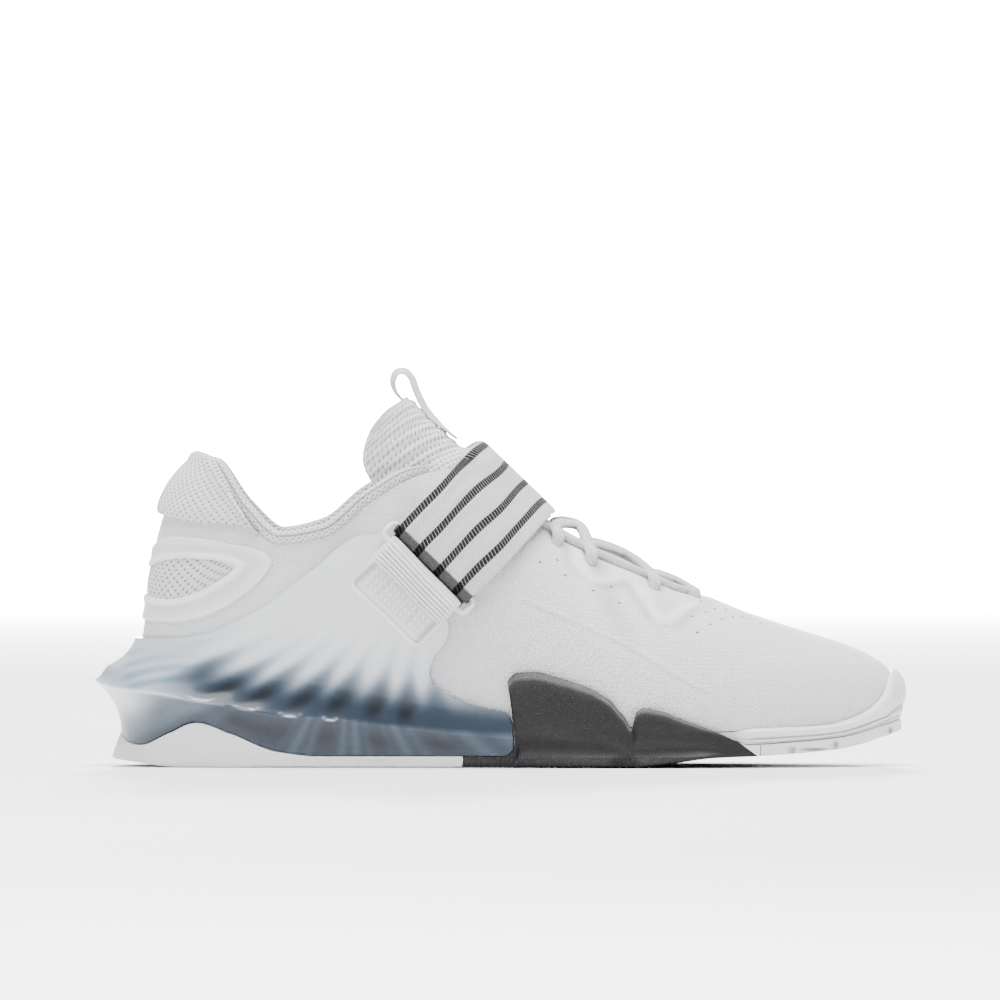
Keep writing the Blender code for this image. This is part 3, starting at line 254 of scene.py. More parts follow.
@dataclass
class Last:
    """The foot's form: ribs that climb from the feather line to the top edge, joined all round.

    A rib is named by u, from 0 at the heel's back along the outer side to 16 at the toe and back along the
    inner side to 32. A place on a rib is named by v, from 0 at its foot to 1 at its head.
    """

    length: float = 0.280
    heel_back: float = -0.0365
    ball_width: float = 0.099
    collar_height: float = 0.112
    heel_lift: float = 0.034
    ridge_fall: float = 0.36
    foot_handle: float = 0.40
    head_handle: float = 0.36
    curves: dict[str, tuple[Array, Array]] = field(default_factory=dict)

    def __post_init__(self) -> None:
        """Works out the closed curves of feet, heads and angles once."""
        rows = {name: np.array([row[i] for row in RIBS]) for i, name in enumerate(RIB_COLUMNS)}
        x_foot = self.heel_back + rows["foot_along"] * self.length
        x_head = self.heel_back + rows["head_along"] * self.length
        middle = rows["head_middle"] * self.ball_width
        feet = np.stack([
            self.around(x_foot, x_foot),
            self.around(-rows["foot_outer"] * self.ball_width, rows["foot_inner"] * self.ball_width),
            self.around(rows["lift"] * self.heel_lift, rows["lift"] * self.heel_lift)], axis=1)
        heads = np.stack([
            self.around(x_head, x_head),
            self.around(middle, middle),
            self.around(-rows["half_outer"] * self.ball_width, rows["half_inner"] * self.ball_width),
            self.around(rows["height_outer"] * self.collar_height,
                        rows["height_inner"] * self.collar_height)], axis=1)
        self.curves = {
            "foot": self.closed(feet),
            "head": self.closed(heads, True),
            "flare": self.closed(np.radians(self.around(rows["flare"], rows["flare"])), True),
            "lean": self.closed(np.radians(self.around(rows["lean"], rows["lean"])), True),
            "full": self.closed(self.around(rows["full"], rows["full"]), True),
        }

    @staticmethod
    def around(outer: Array, inner: Array) -> Array:
        """The outer side's values, heel to toe, then the inner side's, toe to heel.

        Args:
            outer: Values of the ribs, heel to toe.
            inner: The inner side's values.

        Returns:
            Values once round the shoe.
        """
        return np.concatenate([outer, inner[-2:0:-1]])

    @staticmethod
    def closed(values: Array, even: bool = False) -> tuple[Array, Array]:
        """A closed curve of values, with slopes that don't overshoot or with plain central ones.

        Args:
            values: Values once round the shoe.
            even: Whether slopes must not overshoot.

        Returns:
            The values with the first repeated, and their slopes.
        """
        long = np.concatenate([values[-3:], values, values[:3]])
        slopes = even_slopes(long) if even else np.gradient(long, axis=0)
        return (np.concatenate([values, values[:1]]),
                np.concatenate([slopes[3:-3], slopes[3:4]]))

    def read(self, name: str, u: Array) -> Array:
        """Reads one of the closed curves at u.

        Args:
            name: The curve's name.
            u: Rib numbers.

        Returns:
            Values there.
        """
        values, slopes = self.curves[name]
        return hermite(values, slopes, np.mod(u, ROUND))

    def foot(self, u: Array) -> tuple[Array, Array]:
        """Points of the feather line, and the level unit vectors that point out of the shoe there.

        Args:
            u: Rib numbers.

        Returns:
            Points and unit vectors.
        """
        u = np.asarray(u, float)
        point = self.read("foot", u)
        ahead = self.read("foot", u + 0.01) - self.read("foot", u - 0.01)
        out = np.stack([ahead[..., 1], -ahead[..., 0], 0 * u], axis=-1)
        return point, unit(out)

    def head(self, u: Array) -> Array:
        """Points of the top edge, and of the ridge ahead of the throat.

        The curve holds x, the middle's y, the half width and z; the two in the middle are added up.

        Args:
            u: Rib numbers.

        Returns:
            Points.
        """
        row = self.read("head", np.asarray(u, float))
        return np.stack([row[..., 0], row[..., 1] + row[..., 2], row[..., 3]], axis=-1)

    def handles(self, u: Array) -> list[Array]:
        """The four control points of each rib.

        The second stands above the foot, tipped out by the flare; the third stands back from the head,
        level by the sine of the lean and up by its cosine, less the fall of the ridge.

        Args:
            u: Rib numbers.

        Returns:
            Four arrays of points.
        """
        start, outward = self.foot(u)
        end = self.head(u)
        inward = unit((end - start) * np.array([1.0, 1.0, 0.0]))
        flare = self.read("flare", u)[..., None]
        lean = self.read("lean", u)[..., None]
        climb = np.cos(lean) - self.ridge_fall * inward[..., :1] * np.sin(lean) ** 4
        reach = np.linalg.norm(end - start, axis=-1, keepdims=True) * self.read("full", u)[..., None]
        up = np.array([0.0, 0.0, 1.0])
        low = start + self.foot_handle * reach * (np.cos(flare) * up + np.sin(flare) * outward)
        high = end - self.head_handle * reach * (np.sin(lean) * inward + climb * up)
        return [start, low, high, end]

    @staticmethod
    def cubic(handles: Sequence[Array], v: Array) -> Array:
        """The cubic with four control points: (1-v)^3 a + 3v(1-v)^2 b + 3v^2(1-v) c + v^3 d.

        Args:
            handles: The control points.
            v: Places from 0 to 1.

        Returns:
            Points.
        """
        a, b, c, d = handles
        return (1 - v) ** 3 * a + 3 * v * (1 - v) ** 2 * b + 3 * v * v * (1 - v) * c + v ** 3 * d

    def rib(self, u: Array, v: Array) -> Array:
        """The upper's surface at rib u and place v.

        Args:
            u: Rib numbers.
            v: Places on the ribs.

        Returns:
            Points.
        """
        return self.cubic(self.handles(np.asarray(u, float)), np.asarray(v, float)[..., None])

    def skin(self, u: Array, z: Array) -> Array:
        """The shoe's side at rib u and height z, found by halving v; below the foot, straight down.

        Args:
            u: Rib numbers.
            z: Heights.

        Returns:
            Points.
        """
        u, z = np.broadcast_arrays(np.asarray(u, float), np.asarray(z, float))
        handles = self.handles(u)
        heights = [handle[..., 2] for handle in handles]
        low, high = np.zeros(u.shape), np.ones(u.shape)
        for _ in range(22):
            middle = (low + high) / 2
            below = self.cubic(heights, middle) < z
            low, high = np.where(below, middle, low), np.where(below, high, middle)
        point = self.cubic(handles, high[..., None])
        point[..., 2] = np.where(z < heights[0], z, point[..., 2])
        return point

    def normals(self, u: Array, z: Array) -> Array:
        """Outward unit normals of the side, from central differences.

        Args:
            u: Rib numbers.
            z: Heights.

        Returns:
            Unit vectors.
        """
        step, rise = 0.04, 0.0008
        z = np.minimum(z, self.head(u)[..., 2] - 2 * rise)
        along = self.skin(u + step, z) - self.skin(u - step, z)
        up = self.skin(u, z + rise) - self.skin(u, z - rise)
        return unit(np.cross(along, up))

    def lay(self, u: Array, z: Array, out: Array) -> Array:
        """Points that stand the distance out off the side.

        Args:
            u: Rib numbers.
            z: Heights.
            out: Distances off the side.

        Returns:
            Points.
        """
        u, z = np.broadcast_arrays(np.asarray(u, float), np.asarray(z, float))
        return self.skin(u, z) + self.normals(u, z) * np.asarray(out)[..., None]

    def place_u(self, along: Array, height: Array) -> Array:
        """The rib on the outer side that is seen at a side-view place given in shares.

        Args:
            along: Shares of the last's length.
            height: Shares of the collar's height.

        Returns:
            Rib numbers.
        """
        x = self.heel_back + np.asarray(along, float) * self.length
        z = np.asarray(height, float) * self.collar_height
        low, high = np.zeros_like(x), np.full_like(x, TOE)
        for _ in range(20):
            middle = (low + high) / 2
            behind = self.skin(middle, z)[..., 0] < x
            low, high = np.where(behind, middle, low), np.where(behind, high, middle)
        return high

    def side_line(self, rows: Sequence[Sequence[float]], count: int, back: Optional[float] = None,
                  end: Optional[float] = None) -> Array:
        """A side-view outline in shares as evenly spaced (u, z) points.

        Args:
            rows: Shares along and up, in order.
            count: Number of points.
            back: Height share at which it starts on the heel's back line, if it does.
            end: Height share at which it ends there, if it does.

        Returns:
            An array of (u, z) rows.
        """
        along, height = np.array(rows).T
        step = self.length / TOE
        points = np.stack([self.place_u(along, height) * step, height * self.collar_height], axis=1)
        if back is not None:
            points = np.concatenate([[[0.0, back * self.collar_height]], points])
        if end is not None:
            points = np.concatenate([points, [[0.0, end * self.collar_height]]])
        return outline(points, count) / np.array([step, 1.0])

    def edge_frame(self, u: Array) -> tuple[Array, Array, Array]:
        """The top edge at u, the direction up along the rib, and the one out of the wall.

        Args:
            u: Rib numbers.

        Returns:
            Points and two sets of unit vectors.
        """
        ones = np.ones(np.shape(u))
        rise = unit(self.rib(u, ones) - self.rib(u, 0.98 * ones))
        along = self.head(u + 0.04) - self.head(u - 0.04)
        return self.head(u), rise, unit(np.cross(along, rise))


LAST = Last()


# Meshes.

def both_sides(grid: Array) -> Array:
    """A grid of (u, z) points of the outer side joined at the heel's back to its mirror.

    Args:
        grid: Rows by columns of (u, z), the first column at the heel's back.

    Returns:
        The grid of both sides, inner side first.
    """
    other = grid[:, :0:-1].copy()
    other[..., 0] = ROUND - other[..., 0]
    return np.concatenate([other, grid], axis=1)


def painted_relief_shade(relief: Array, depth: float = 0.14, size: float = 0.00025, reach: int = 3) -> Array:
    """Painted shade of a relief: darker where it lies below the mean of its neighbourhood, as shade falls in
    a hollow, and lighter above it, as light falls on a crest.

    Args:
        relief: Heights on a grid.
        depth: How much darker the deepest hollow is.
        size: Depth that counts as deep.
        reach: Half the neighbourhood, in grid steps.

    Returns:
        Grey tints, with three equal channels.
    """
    mean = relief
    for axis in (0, 1):
        mean = sum(np.roll(mean, shift, axis) for shift in range(-reach, reach + 1)) / (2 * reach + 1)
    shade = 1 - depth * np.clip((mean - relief) / size, -0.4, 1)
    shade[:reach] = shade[-reach:] = 1.0
    return grey(shade)


def photo_place(point: Array) -> tuple[Array, Array]:
    """Where points lie in the side view, in the photograph's pixels.

    Args:
        point: Points.

    Returns:
        Places along, and places down.
    """
    return point[..., 0] / PIXEL + ORIGIN_PX, FLOOR_PX - point[..., 2] / PIXEL


def grey(shade: Array) -> Array:
    """Tints with three equal channels.

    Args:
        shade: Shades, one for each point.

    Returns:
        Tints.
    """
    return np.repeat(shade[..., None], 3, axis=-1)


def mirrored(values: Array) -> Array:
    """Values on the outer side's grid joined at the heel's back to the same ones, mirrored.

    Args:
        values: Rows by columns of values, or of vectors.

    Returns:
        The values of both sides.
    """
    return np.concatenate([values[:, :0:-1], values], axis=1)


def grid_faces(rows: int, columns: int, start: int = 0, wrap: bool = False) -> Array:
    """Quads of a grid of points numbered row by row; with wrap, its last column joins its first.

    Args:
        rows: Rows of the grid.
        columns: Columns of the grid.
        start: Number of its first point.
        wrap: Whether it closes on itself.

    Returns:
        Quads of point numbers.
    """
    r, c = np.meshgrid(np.arange(rows - 1), np.arange(columns if wrap else columns - 1), indexing="ij")
    after = (c + 1) % columns
    faces = np.stack([r * columns + c, r * columns + after, (r + 1) * columns + after,
                      (r + 1) * columns + c], axis=-1)
    return faces.reshape(-1, 4) + start


def surface_normals(grid: Array) -> Array:
    """Unit normals of a grid of points, from the cross product of its two gradients.

    Args:
        grid: Points, rows by columns.

    Returns:
        Unit vectors.
    """
    return unit(np.cross(np.gradient(grid, axis=1), np.gradient(grid, axis=0)))


def make_piece(name: str, points: Array, faces: Array, material: bpy.types.Material,
               uv: Optional[Array] = None, tint: Optional[Array] = None, sharp: float = 50.0,
               weld: float = 2e-6) -> bpy.types.Object:
    """Puts arrays into a mesh: points within the weld distance become one, and faces point outwards.

    Args:
        name: The piece's name.
        points: Points, one row each.
        faces: Quads of point numbers.
        material: Its finish.
        uv: Pattern coordinates in metres, one row for each point.
        tint: Colours that its finish is multiplied by, one row for each point, which hold painted shade and
            painted highlights as well as the piece's own colours; white by default.
        sharp: Edges that bend more than this many degrees stay sharp.
        weld: Grid on which points are compared, in metres.

    Returns:
        The piece, which rides on the root.
    """
    keys = np.round(points / weld).astype(np.int64)
    first, inverse = np.unique(keys, axis=0, return_index=True, return_inverse=True)[1:]
    inverse = inverse.reshape(-1)
    kept = points[first]
    joined = inverse[faces]
    away = joined != np.roll(joined, 1, axis=1)
    whole = away.sum(1)
    quads, three = joined[whole == 4], joined[whole == 3]
    tris = three[away[whole == 3]].reshape(-1, 3)
    corner_uv = None
    if uv is not None:
        corner_uv = np.concatenate([uv[faces[whole == 4]].reshape(-1, 2),
                                    uv[faces[whole == 3]][away[whole == 3]].reshape(-1, 2)])
    a, b, c, d = (kept[quads[:, i]] for i in range(4))
    volume = (np.einsum("ij,ij->i", a, np.cross(b, c)) + np.einsum("ij,ij->i", a, np.cross(c, d))).sum()
    if len(tris):
        p, q, r = (kept[tris[:, i]] for i in range(3))
        volume += np.einsum("ij,ij->i", p, np.cross(q, r)).sum()
    mesh = bpy.data.meshes.new(name)
    mesh.from_pydata(kept.tolist(), [], quads.tolist() + tris.tolist())
    if corner_uv is not None:
        layer = mesh.uv_layers.new(name="weave")
        layer.data.foreach_set("uv", corner_uv.ravel())
    shade = np.ones((len(first), 4))
    if tint is not None:
        shade[:, :3] = tint[first]
    mesh.attributes.new("tint", "FLOAT_COLOR", "POINT").data.foreach_set("color", shade.ravel())
    if volume < 0:
        mesh.flip_normals()
    mesh.validate()
    mesh.shade_smooth()
    mesh.set_sharp_from_angle(angle=math.radians(sharp))
    mesh.materials.append(material)
    piece = bpy.data.objects.new(name, mesh)
    bpy.context.scene.collection.objects.link(piece)
    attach(piece, "root")
    return piece


def shell_arrays(outer: Array, inner: Array, wrap: bool = False) -> tuple[Array, Array]:
    """Points and quads of the closed wall between two grids of the same size.

    Args:
        outer: Grid of the outer face.
        inner: Grid of the inner face.
        wrap: Whether the last column joins the first.

    Returns:
        Points and quads.
    """
    rows, columns = outer.shape[:2]
    count = rows * columns
    faces = [grid_faces(rows, columns, 0, wrap), grid_faces(rows, columns, count, wrap)[:, ::-1]]
    here = np.arange(columns if wrap else columns - 1)
    after = (here + 1) % columns
    for edge, turn in ((0, 1), ((rows - 1) * columns, -1)):
        rim = np.stack([edge + here, count + edge + here, count + edge + after, edge + after], axis=1)
        faces.append(rim[:, ::turn])
    if not wrap:
        here = np.arange(rows - 1) * columns
        for edge, turn in ((0, -1), (columns - 1, 1)):
            rim = np.stack([here + edge, count + here + edge, count + here + edge + columns,
                            here + edge + columns], axis=1)
            faces.append(rim[:, ::turn])
    return np.concatenate([outer.reshape(-1, 3), inner.reshape(-1, 3)]), np.concatenate(faces)


def arc_uv(grid: Array) -> Array:
    """Pattern coordinates of a grid in metres: its lengths along the middle row and up each column.

    Args:
        grid: Points, rows by columns.

    Returns:
        Pairs of lengths.
    """
    up = run_lengths(grid)
    return np.stack([np.broadcast_to(run_lengths(grid[len(grid) // 2]), up.shape), up], axis=-1)


def shell(name: str, outer: Array, inner: Array, material: bpy.types.Material, wrap: bool = False,
          uv: Optional[Array] = None, tint: Optional[Array] = None, sharp: float = 50.0) -> bpy.types.Object:
    """A closed wall between two grids, with a pattern laid out in metres.

    Args:
        name: The piece's name.
        outer: Grid of the outer face.
        inner: Grid of the inner face.
        material: Its finish.
        wrap: Whether the last column joins the first.
        uv: Pattern coordinates of the grid; by default its arc lengths.
        tint: Colours of the grid.
        sharp: Edges that bend more than this many degrees stay sharp.

    Returns:
        The piece.
    """
    points, faces = shell_arrays(outer, inner, wrap)
    flat = (arc_uv(outer) if uv is None else uv).reshape(-1, 2)
    colours = None if tint is None else np.tile(tint.reshape(-1, 3), (2, 1))
    return make_piece(name, points, faces, material, np.tile(flat, (2, 1)), colours, sharp)


def tray(name: str, rings: Array, material: bpy.types.Material, tint: Optional[Array] = None,
         sharp: float = 50.0) -> bpy.types.Object:
    """A closed solid of rings round the whole shoe, the first and last closed straight across.

    Args:
        name: The piece's name.
        rings: Rings of points, rows by columns, from the heel's back along the outer side.
        material: Its finish.
        tint: Colours, rows by columns.
        sharp: Edges that bend more than this many degrees stay sharp.

    Returns:
        The piece.
    """
    rows, columns = rings.shape[:2]
    half = columns // 2
    faces = [grid_faces(rows, columns, 0, True)]
    i = np.arange(0, half)
    other = (columns - i) % columns
    for start, turn in ((0, -1), ((rows - 1) * columns, 1)):
        across = np.stack([i, i + 1, (columns - i - 1) % columns, other], axis=1) + start
        faces.append(across[:, ::turn])
    uv = arc_uv(rings).reshape(-1, 2)
    flat = None if tint is None else tint.reshape(-1, 3)
    return make_piece(name, rings.reshape(-1, 3), np.concatenate(faces), material, uv, flat, sharp)


def tube_arrays(path: Array, across: Array, width: Array, height: Array, sides: int = 14,
                closed: bool = False) -> tuple[Array, Array, Array]:
    """An oval tube: path plus cos a times half the width across and sin a times half the height.

    Args:
        path: Points of its middle line.
        across: Direction of its width at each point.
        width: Width at each point.
        height: Height at each point.
        sides: Points round the section.
        closed: Whether the path is a ring.

    Returns:
        Points, quads and pattern coordinates in metres.
    """
    ahead = np.roll(path, -1, 0) - np.roll(path, 1, 0) if closed else np.gradient(path, axis=0)
    ahead = unit(ahead)
    flat = unit(across - (across * ahead).sum(1, keepdims=True) * ahead)
    rise = np.cross(ahead, flat)
    angle = np.linspace(0, 2 * math.pi, sides, endpoint=False)[None, :, None]
    wide = np.broadcast_to(width, len(path))[:, None, None] / 2
    high = np.broadcast_to(height, len(path))[:, None, None] / 2
    rings = path[:, None] + flat[:, None] * np.cos(angle) * wide + rise[:, None] * np.sin(angle) * high
    along = run_lengths(path)
    if closed:
        rings = np.concatenate([rings, rings[:1]])
        along = np.append(along, along[-1] + np.linalg.norm(path[0] - path[-1]))
    else:
        ends = np.stack([np.broadcast_to(path[:1], (sides, 3)), np.broadcast_to(path[-1:], (sides, 3))])
        rings = np.concatenate([ends[:1], rings, ends[1:]])
        along = np.concatenate([along[:1], along, along[-1:]])
    faces = grid_faces(len(rings), sides, 0, True)
    girth = np.broadcast_to(np.linspace(0, 1, sides)[None], rings.shape[:2]) * math.pi * float(np.mean(width))
    uv = np.stack([np.broadcast_to(along[:, None], girth.shape), girth], axis=-1)
    return rings.reshape(-1, 3), faces, uv.reshape(-1, 2)


# Finishes.

WHITE_RUBBER: Colour = (0.82, 0.83, 0.845)


class Graph:
    """Builds one node material. Sockets are added from left to right in plain arithmetic."""

    def __init__(self, name: str, colour: Colour, roughness: float, **constants: float) -> None:
        """Starts a material with its constants set on the shader's own sockets.

        Args:
            name: The material's name.
            colour: Base colour.
            roughness: Roughness.
            constants: Other sockets by name, with underscores for spaces.
        """
        self.material = bpy.data.materials.new(name)
        self.material.use_nodes = True
        self.nodes = self.material.node_tree.nodes
        self.links = self.material.node_tree.links
        self.shader = self.nodes["Principled BSDF"]
        self.shader.inputs["Base Color"].default_value = (*colour, 1.0)
        self.shader.inputs["Roughness"].default_value = roughness
        for key, value in constants.items():
            self.shader.inputs[key.replace("_", " ")].default_value = value

    def node(self, kind: str, **settings: object) -> bpy.types.Node:
        """Adds a node and sets its properties.

        Args:
            kind: The node's type.
            settings: Its properties by name.

        Returns:
            The node.
        """
        made = self.nodes.new(kind)
        for key, value in settings.items():
            setattr(made, key, value)
        return made

    def join(self, source: object, target: object) -> None:
        """Links a socket, or sets a plain number, on another node's input.

        Args:
            source: A socket or a number.
            target: The input.
        """
        if isinstance(source, (int, float)):
            target.default_value = source
        else:
            self.links.new(source, target)

    def math(self, operation: str, *values: object) -> bpy.types.NodeSocket:
        """The result of a Math node on up to three values or sockets.

        Args:
            operation: The node's operation.
            values: Numbers or sockets.

        Returns:
            Its result.
        """
        made = self.node("ShaderNodeMath", operation=operation)
        for index, value in enumerate(values):
            self.join(value, made.inputs[index])
        return made.outputs[0]

    def wave(self, place: object, pitch: float) -> bpy.types.NodeSocket:
        """The cosine of place over pitch, in turns.

        Args:
            place: A length.
            pitch: Length of a turn.

        Returns:
            Values from -1 to 1.
        """
        return self.math("COSINE", self.math("MULTIPLY", place, 2 * math.pi / pitch))

    def weave(self) -> tuple[bpy.types.NodeSocket, bpy.types.NodeSocket]:
        """The piece's own pattern coordinates in metres, along and up.

        Returns:
            Two sockets.
        """
        split = self.node("ShaderNodeSeparateXYZ")
        self.links.new(self.node("ShaderNodeUVMap", uv_map="weave").outputs[0], split.inputs[0])
        return split.outputs[0], split.outputs[1]

    def place(self) -> bpy.types.NodeSocket:
        """The point in object coordinates, as a vector.

        Returns:
            A vector socket.
        """
        return self.node("ShaderNodeTexCoord").outputs["Object"]

    def axis(self, index: int) -> bpy.types.NodeSocket:
        """One coordinate of the point in object coordinates.

        Args:
            index: 0, 1 or 2 for x, y or z.

        Returns:
            A socket.
        """
        split = self.node("ShaderNodeSeparateXYZ")
        self.links.new(self.place(), split.inputs[0])
        return split.outputs[index]

    def noise(self, scale: float, detail: float = 3.0) -> bpy.types.NodeSocket:
        """Noise in object coordinates, around 0.5.

        Args:
            scale: Waves a metre.
            detail: Finer layers added.

        Returns:
            A socket.
        """
        made = self.node("ShaderNodeTexNoise")
        self.links.new(self.place(), made.inputs["Vector"])
        made.inputs["Scale"].default_value = scale
        made.inputs["Detail"].default_value = detail
        return made.outputs["Fac"]

    def mix(self, share: object, low: object, high: object) -> bpy.types.NodeSocket:
        """A colour between two, by share. Each is a socket or a colour.

        Args:
            share: A number or socket.
            low: Colour at 0.
            high: Colour at 1.

        Returns:
            A colour socket.
        """
        made = self.node("ShaderNodeMix", data_type="RGBA")
        self.join(share, made.inputs["Factor"])
        for value, socket in ((low, made.inputs["A"]), (high, made.inputs["B"])):
            if isinstance(value, tuple):
                socket.default_value = (*value, 1.0)
            else:
                self.links.new(value, socket)
        return made.outputs["Result"]

    def step(self, value: object, low: float, high: float, start: float = 0.0,
             end: float = 1.0) -> bpy.types.NodeSocket:
        """A soft step of value between low and high.

        Args:
            value: A number or socket.
            low: Where the step starts.
            high: Where it ends.
            start: Result before it.
            end: Result after it.

        Returns:
            A socket.
        """
        made = self.node("ShaderNodeMapRange", interpolation_type="SMOOTHSTEP")
        self.join(value, made.inputs["Value"])
        for key, number in (("From Min", low), ("From Max", high), ("To Min", start), ("To Max", end)):
            made.inputs[key].default_value = number
        return made.outputs["Result"]

    def colour(self, socket: bpy.types.NodeSocket) -> None:
        """Makes a socket the base colour, multiplied by the piece's tint attribute, which holds painted shade
        and painted highlights as well as the piece's own colours.

        Args:
            socket: A colour socket.
        """
        tint = self.node("ShaderNodeAttribute", attribute_name="tint")
        made = self.node("ShaderNodeMix", data_type="RGBA", blend_type="MULTIPLY")
        made.inputs["Factor"].default_value = 1.0
        self.links.new(socket, made.inputs["A"])
        self.links.new(tint.outputs["Color"], made.inputs["B"])
        self.links.new(made.outputs["Result"], self.shader.inputs["Base Color"])

    def rough(self, socket: bpy.types.NodeSocket) -> None:
        """Makes a socket the roughness.

        Args:
            socket: A value socket.
        """
        self.links.new(socket, self.shader.inputs["Roughness"])

    def bump(self, height: bpy.types.NodeSocket, depth: float) -> None:
        """Adds relief to the surface.

        Args:
            height: Height from 0 to 1.
            depth: Depth in metres.
        """
        made = self.node("ShaderNodeBump")
        made.inputs["Strength"].default_value = 1.0
        made.inputs["Distance"].default_value = depth
        self.links.new(height, made.inputs["Height"])
        self.links.new(made.outputs[0], self.shader.inputs["Normal"])


@dataclass(frozen=True)
class FineKnit:
    """The upper's cloth: small stitches in level rows, with painted shade between them."""

    name: str = "fine_knit"
    colour: Colour = (0.83, 0.84, 0.86)
    pit_shade: Colour = (0.34, 0.345, 0.36)
    drift: Colour = (0.79, 0.80, 0.83)
    pitch: float = 0.00105
    row: float = 0.00092
    depth: float = 0.00012

    def material(self) -> bpy.types.Material:
        """Height and painted shade are the product of two cosines, plus rows and a faint drift of tone.

        Returns:
            The material.
        """
        graph = Graph(self.name, self.colour, 0.85, Specular_IOR_Level=0.15)
        along, up = graph.weave()
        stitch = graph.math("MULTIPLY", graph.wave(along, self.pitch), graph.wave(up, self.row))
        rows = graph.wave(up, self.row * 2)
        height = graph.math("MULTIPLY_ADD", rows, 0.35, stitch)
        drift = graph.step(graph.noise(26.0), 0.35, 0.7)
        near_heel = graph.step(graph.axis(0), 0.03, 0.11, 1.0, 0.25)
        # Painted shade in the pits between stitches, strongest near the heel.
        dark = graph.math("MULTIPLY", graph.step(stitch, 0.1, 0.95), near_heel)
        base = graph.mix(graph.math("MULTIPLY", drift, 0.25), self.colour, self.drift)
        graph.colour(graph.mix(graph.math("MULTIPLY", dark, 0.75), base, self.pit_shade))
        graph.bump(height, self.depth)
        return graph.material


@dataclass(frozen=True)
class PaddedMesh:
    """Open knit over foam: staggered oval holes, painted dark as shade, with soft ridges between."""

    name: str = "padded_mesh"
    colour: Colour = (0.80, 0.81, 0.83)
    # The painted shade inside the holes.
    hole: Colour = (0.17, 0.175, 0.19)
    pitch: float = 0.0030
    row: float = 0.0026
    depth: float = 0.0005
    shade: float = 0.75
    wobble: float = 0.0006
    thread: float = 0.0005

    def material(self) -> bpy.types.Material:
        """Holes stand where the product of two cosines is high, which staggers their rows; painted shade
        darkens them.

        Returns:
            The material.
        """
        graph = Graph(self.name, self.colour, 0.9, Specular_IOR_Level=0.15)
        along, up = graph.weave()
        wobble = graph.math("MULTIPLY", graph.math("SUBTRACT", graph.noise(420.0, 1.0), 0.5), self.wobble)
        across = graph.math("ADD", along, wobble)
        cell = graph.math("MULTIPLY", graph.wave(across, self.pitch), graph.wave(up, self.row))
        hole = graph.step(cell, 0.35, 0.85)
        graph.colour(graph.mix(graph.math("MULTIPLY", hole, self.shade), self.colour, self.hole))
        height = graph.math("SUBTRACT", 1.0, graph.step(cell, -0.6, 0.8))
        threads = graph.wave(graph.math("ADD", along, up), self.thread)
        graph.bump(graph.math("MULTIPLY_ADD", threads, 0.06, height), self.depth)
        return graph.material


@dataclass(frozen=True)
class StripedWebbing:
    """The strap's webbing: herringbone with dark ladder stripes along it. Up is the place across it."""

    name: str = "striped_webbing"
    colour: Colour = (0.80, 0.81, 0.82)
    dark: Colour = (0.006, 0.006, 0.007)
    furrow_shade: Colour = (0.55, 0.56, 0.58)
    stripes: tuple[float, ...] = (-0.0169, -0.0069, 0.0033, 0.0130)
    half: float = 0.00138
    rung: float = 0.00135
    chevron: float = 0.0048
    thread: float = 0.00085
    depth: float = 0.00011

    def material(self) -> bpy.types.Material:
        """A stripe lies where the distance from its middle is small, broken by thin light rungs.

        Returns:
            The material.
        """
        graph = Graph(self.name, self.colour, 0.9, Specular_IOR_Level=0.12)
        along, across = graph.weave()
        fold = graph.math("PINGPONG", across, self.chevron / 2)
        herring = graph.wave(graph.math("ADD", along, fold), self.thread)
        rungs = graph.wave(graph.math("MULTIPLY_ADD", across, 0.35, along), self.rung)
        stripe: object = 0.0
        for middle in self.stripes:
            gap = graph.math("ABSOLUTE", graph.math("SUBTRACT", across, middle))
            stripe = graph.math("ADD", stripe, graph.step(gap, self.half * 0.86, self.half * 1.08, 1.0, 0.0))
        block = graph.step(rungs, -1.0, -0.80)
        ink = graph.math("MULTIPLY", stripe, graph.math("MULTIPLY_ADD", block, 0.55, 0.43))
        # Painted shade darkens the furrows of the herringbone.
        tone = graph.mix(graph.step(herring, -1.0, 1.0), self.furrow_shade, self.colour)
        graph.colour(graph.mix(ink, tone, self.dark))
        relief = graph.math("MULTIPLY_ADD", graph.math("MULTIPLY", stripe, rungs), 1.4, herring)
        graph.bump(relief, self.depth)
        return graph.material


@dataclass(frozen=True)
class Cord:
    """Braided lace or tape: fine slanting threads both ways."""

    name: str = "braid"
    colour: Colour = (0.82, 0.83, 0.845)
    pitch: float = 0.0011
    depth: float = 0.00016

    def material(self) -> bpy.types.Material:
        """The larger of two slanting waves, as crossed threads are; painted shade darkens the grooves between
        them to half the colour.

        Returns:
            The material.
        """
        graph = Graph(self.name, self.colour, 0.85, Specular_IOR_Level=0.15)
        along, across = graph.weave()
        left = graph.wave(graph.math("ADD", along, across), self.pitch)
        right = graph.wave(graph.math("SUBTRACT", along, across), self.pitch)
        thread = graph.math("MAXIMUM", left, right)
        # Painted shade in the grooves between threads.
        low = tuple(value * 0.5 for value in self.colour)
        graph.colour(graph.mix(graph.step(thread, -0.6, 0.6), low, self.colour))
        graph.bump(thread, self.depth)
        return graph.material


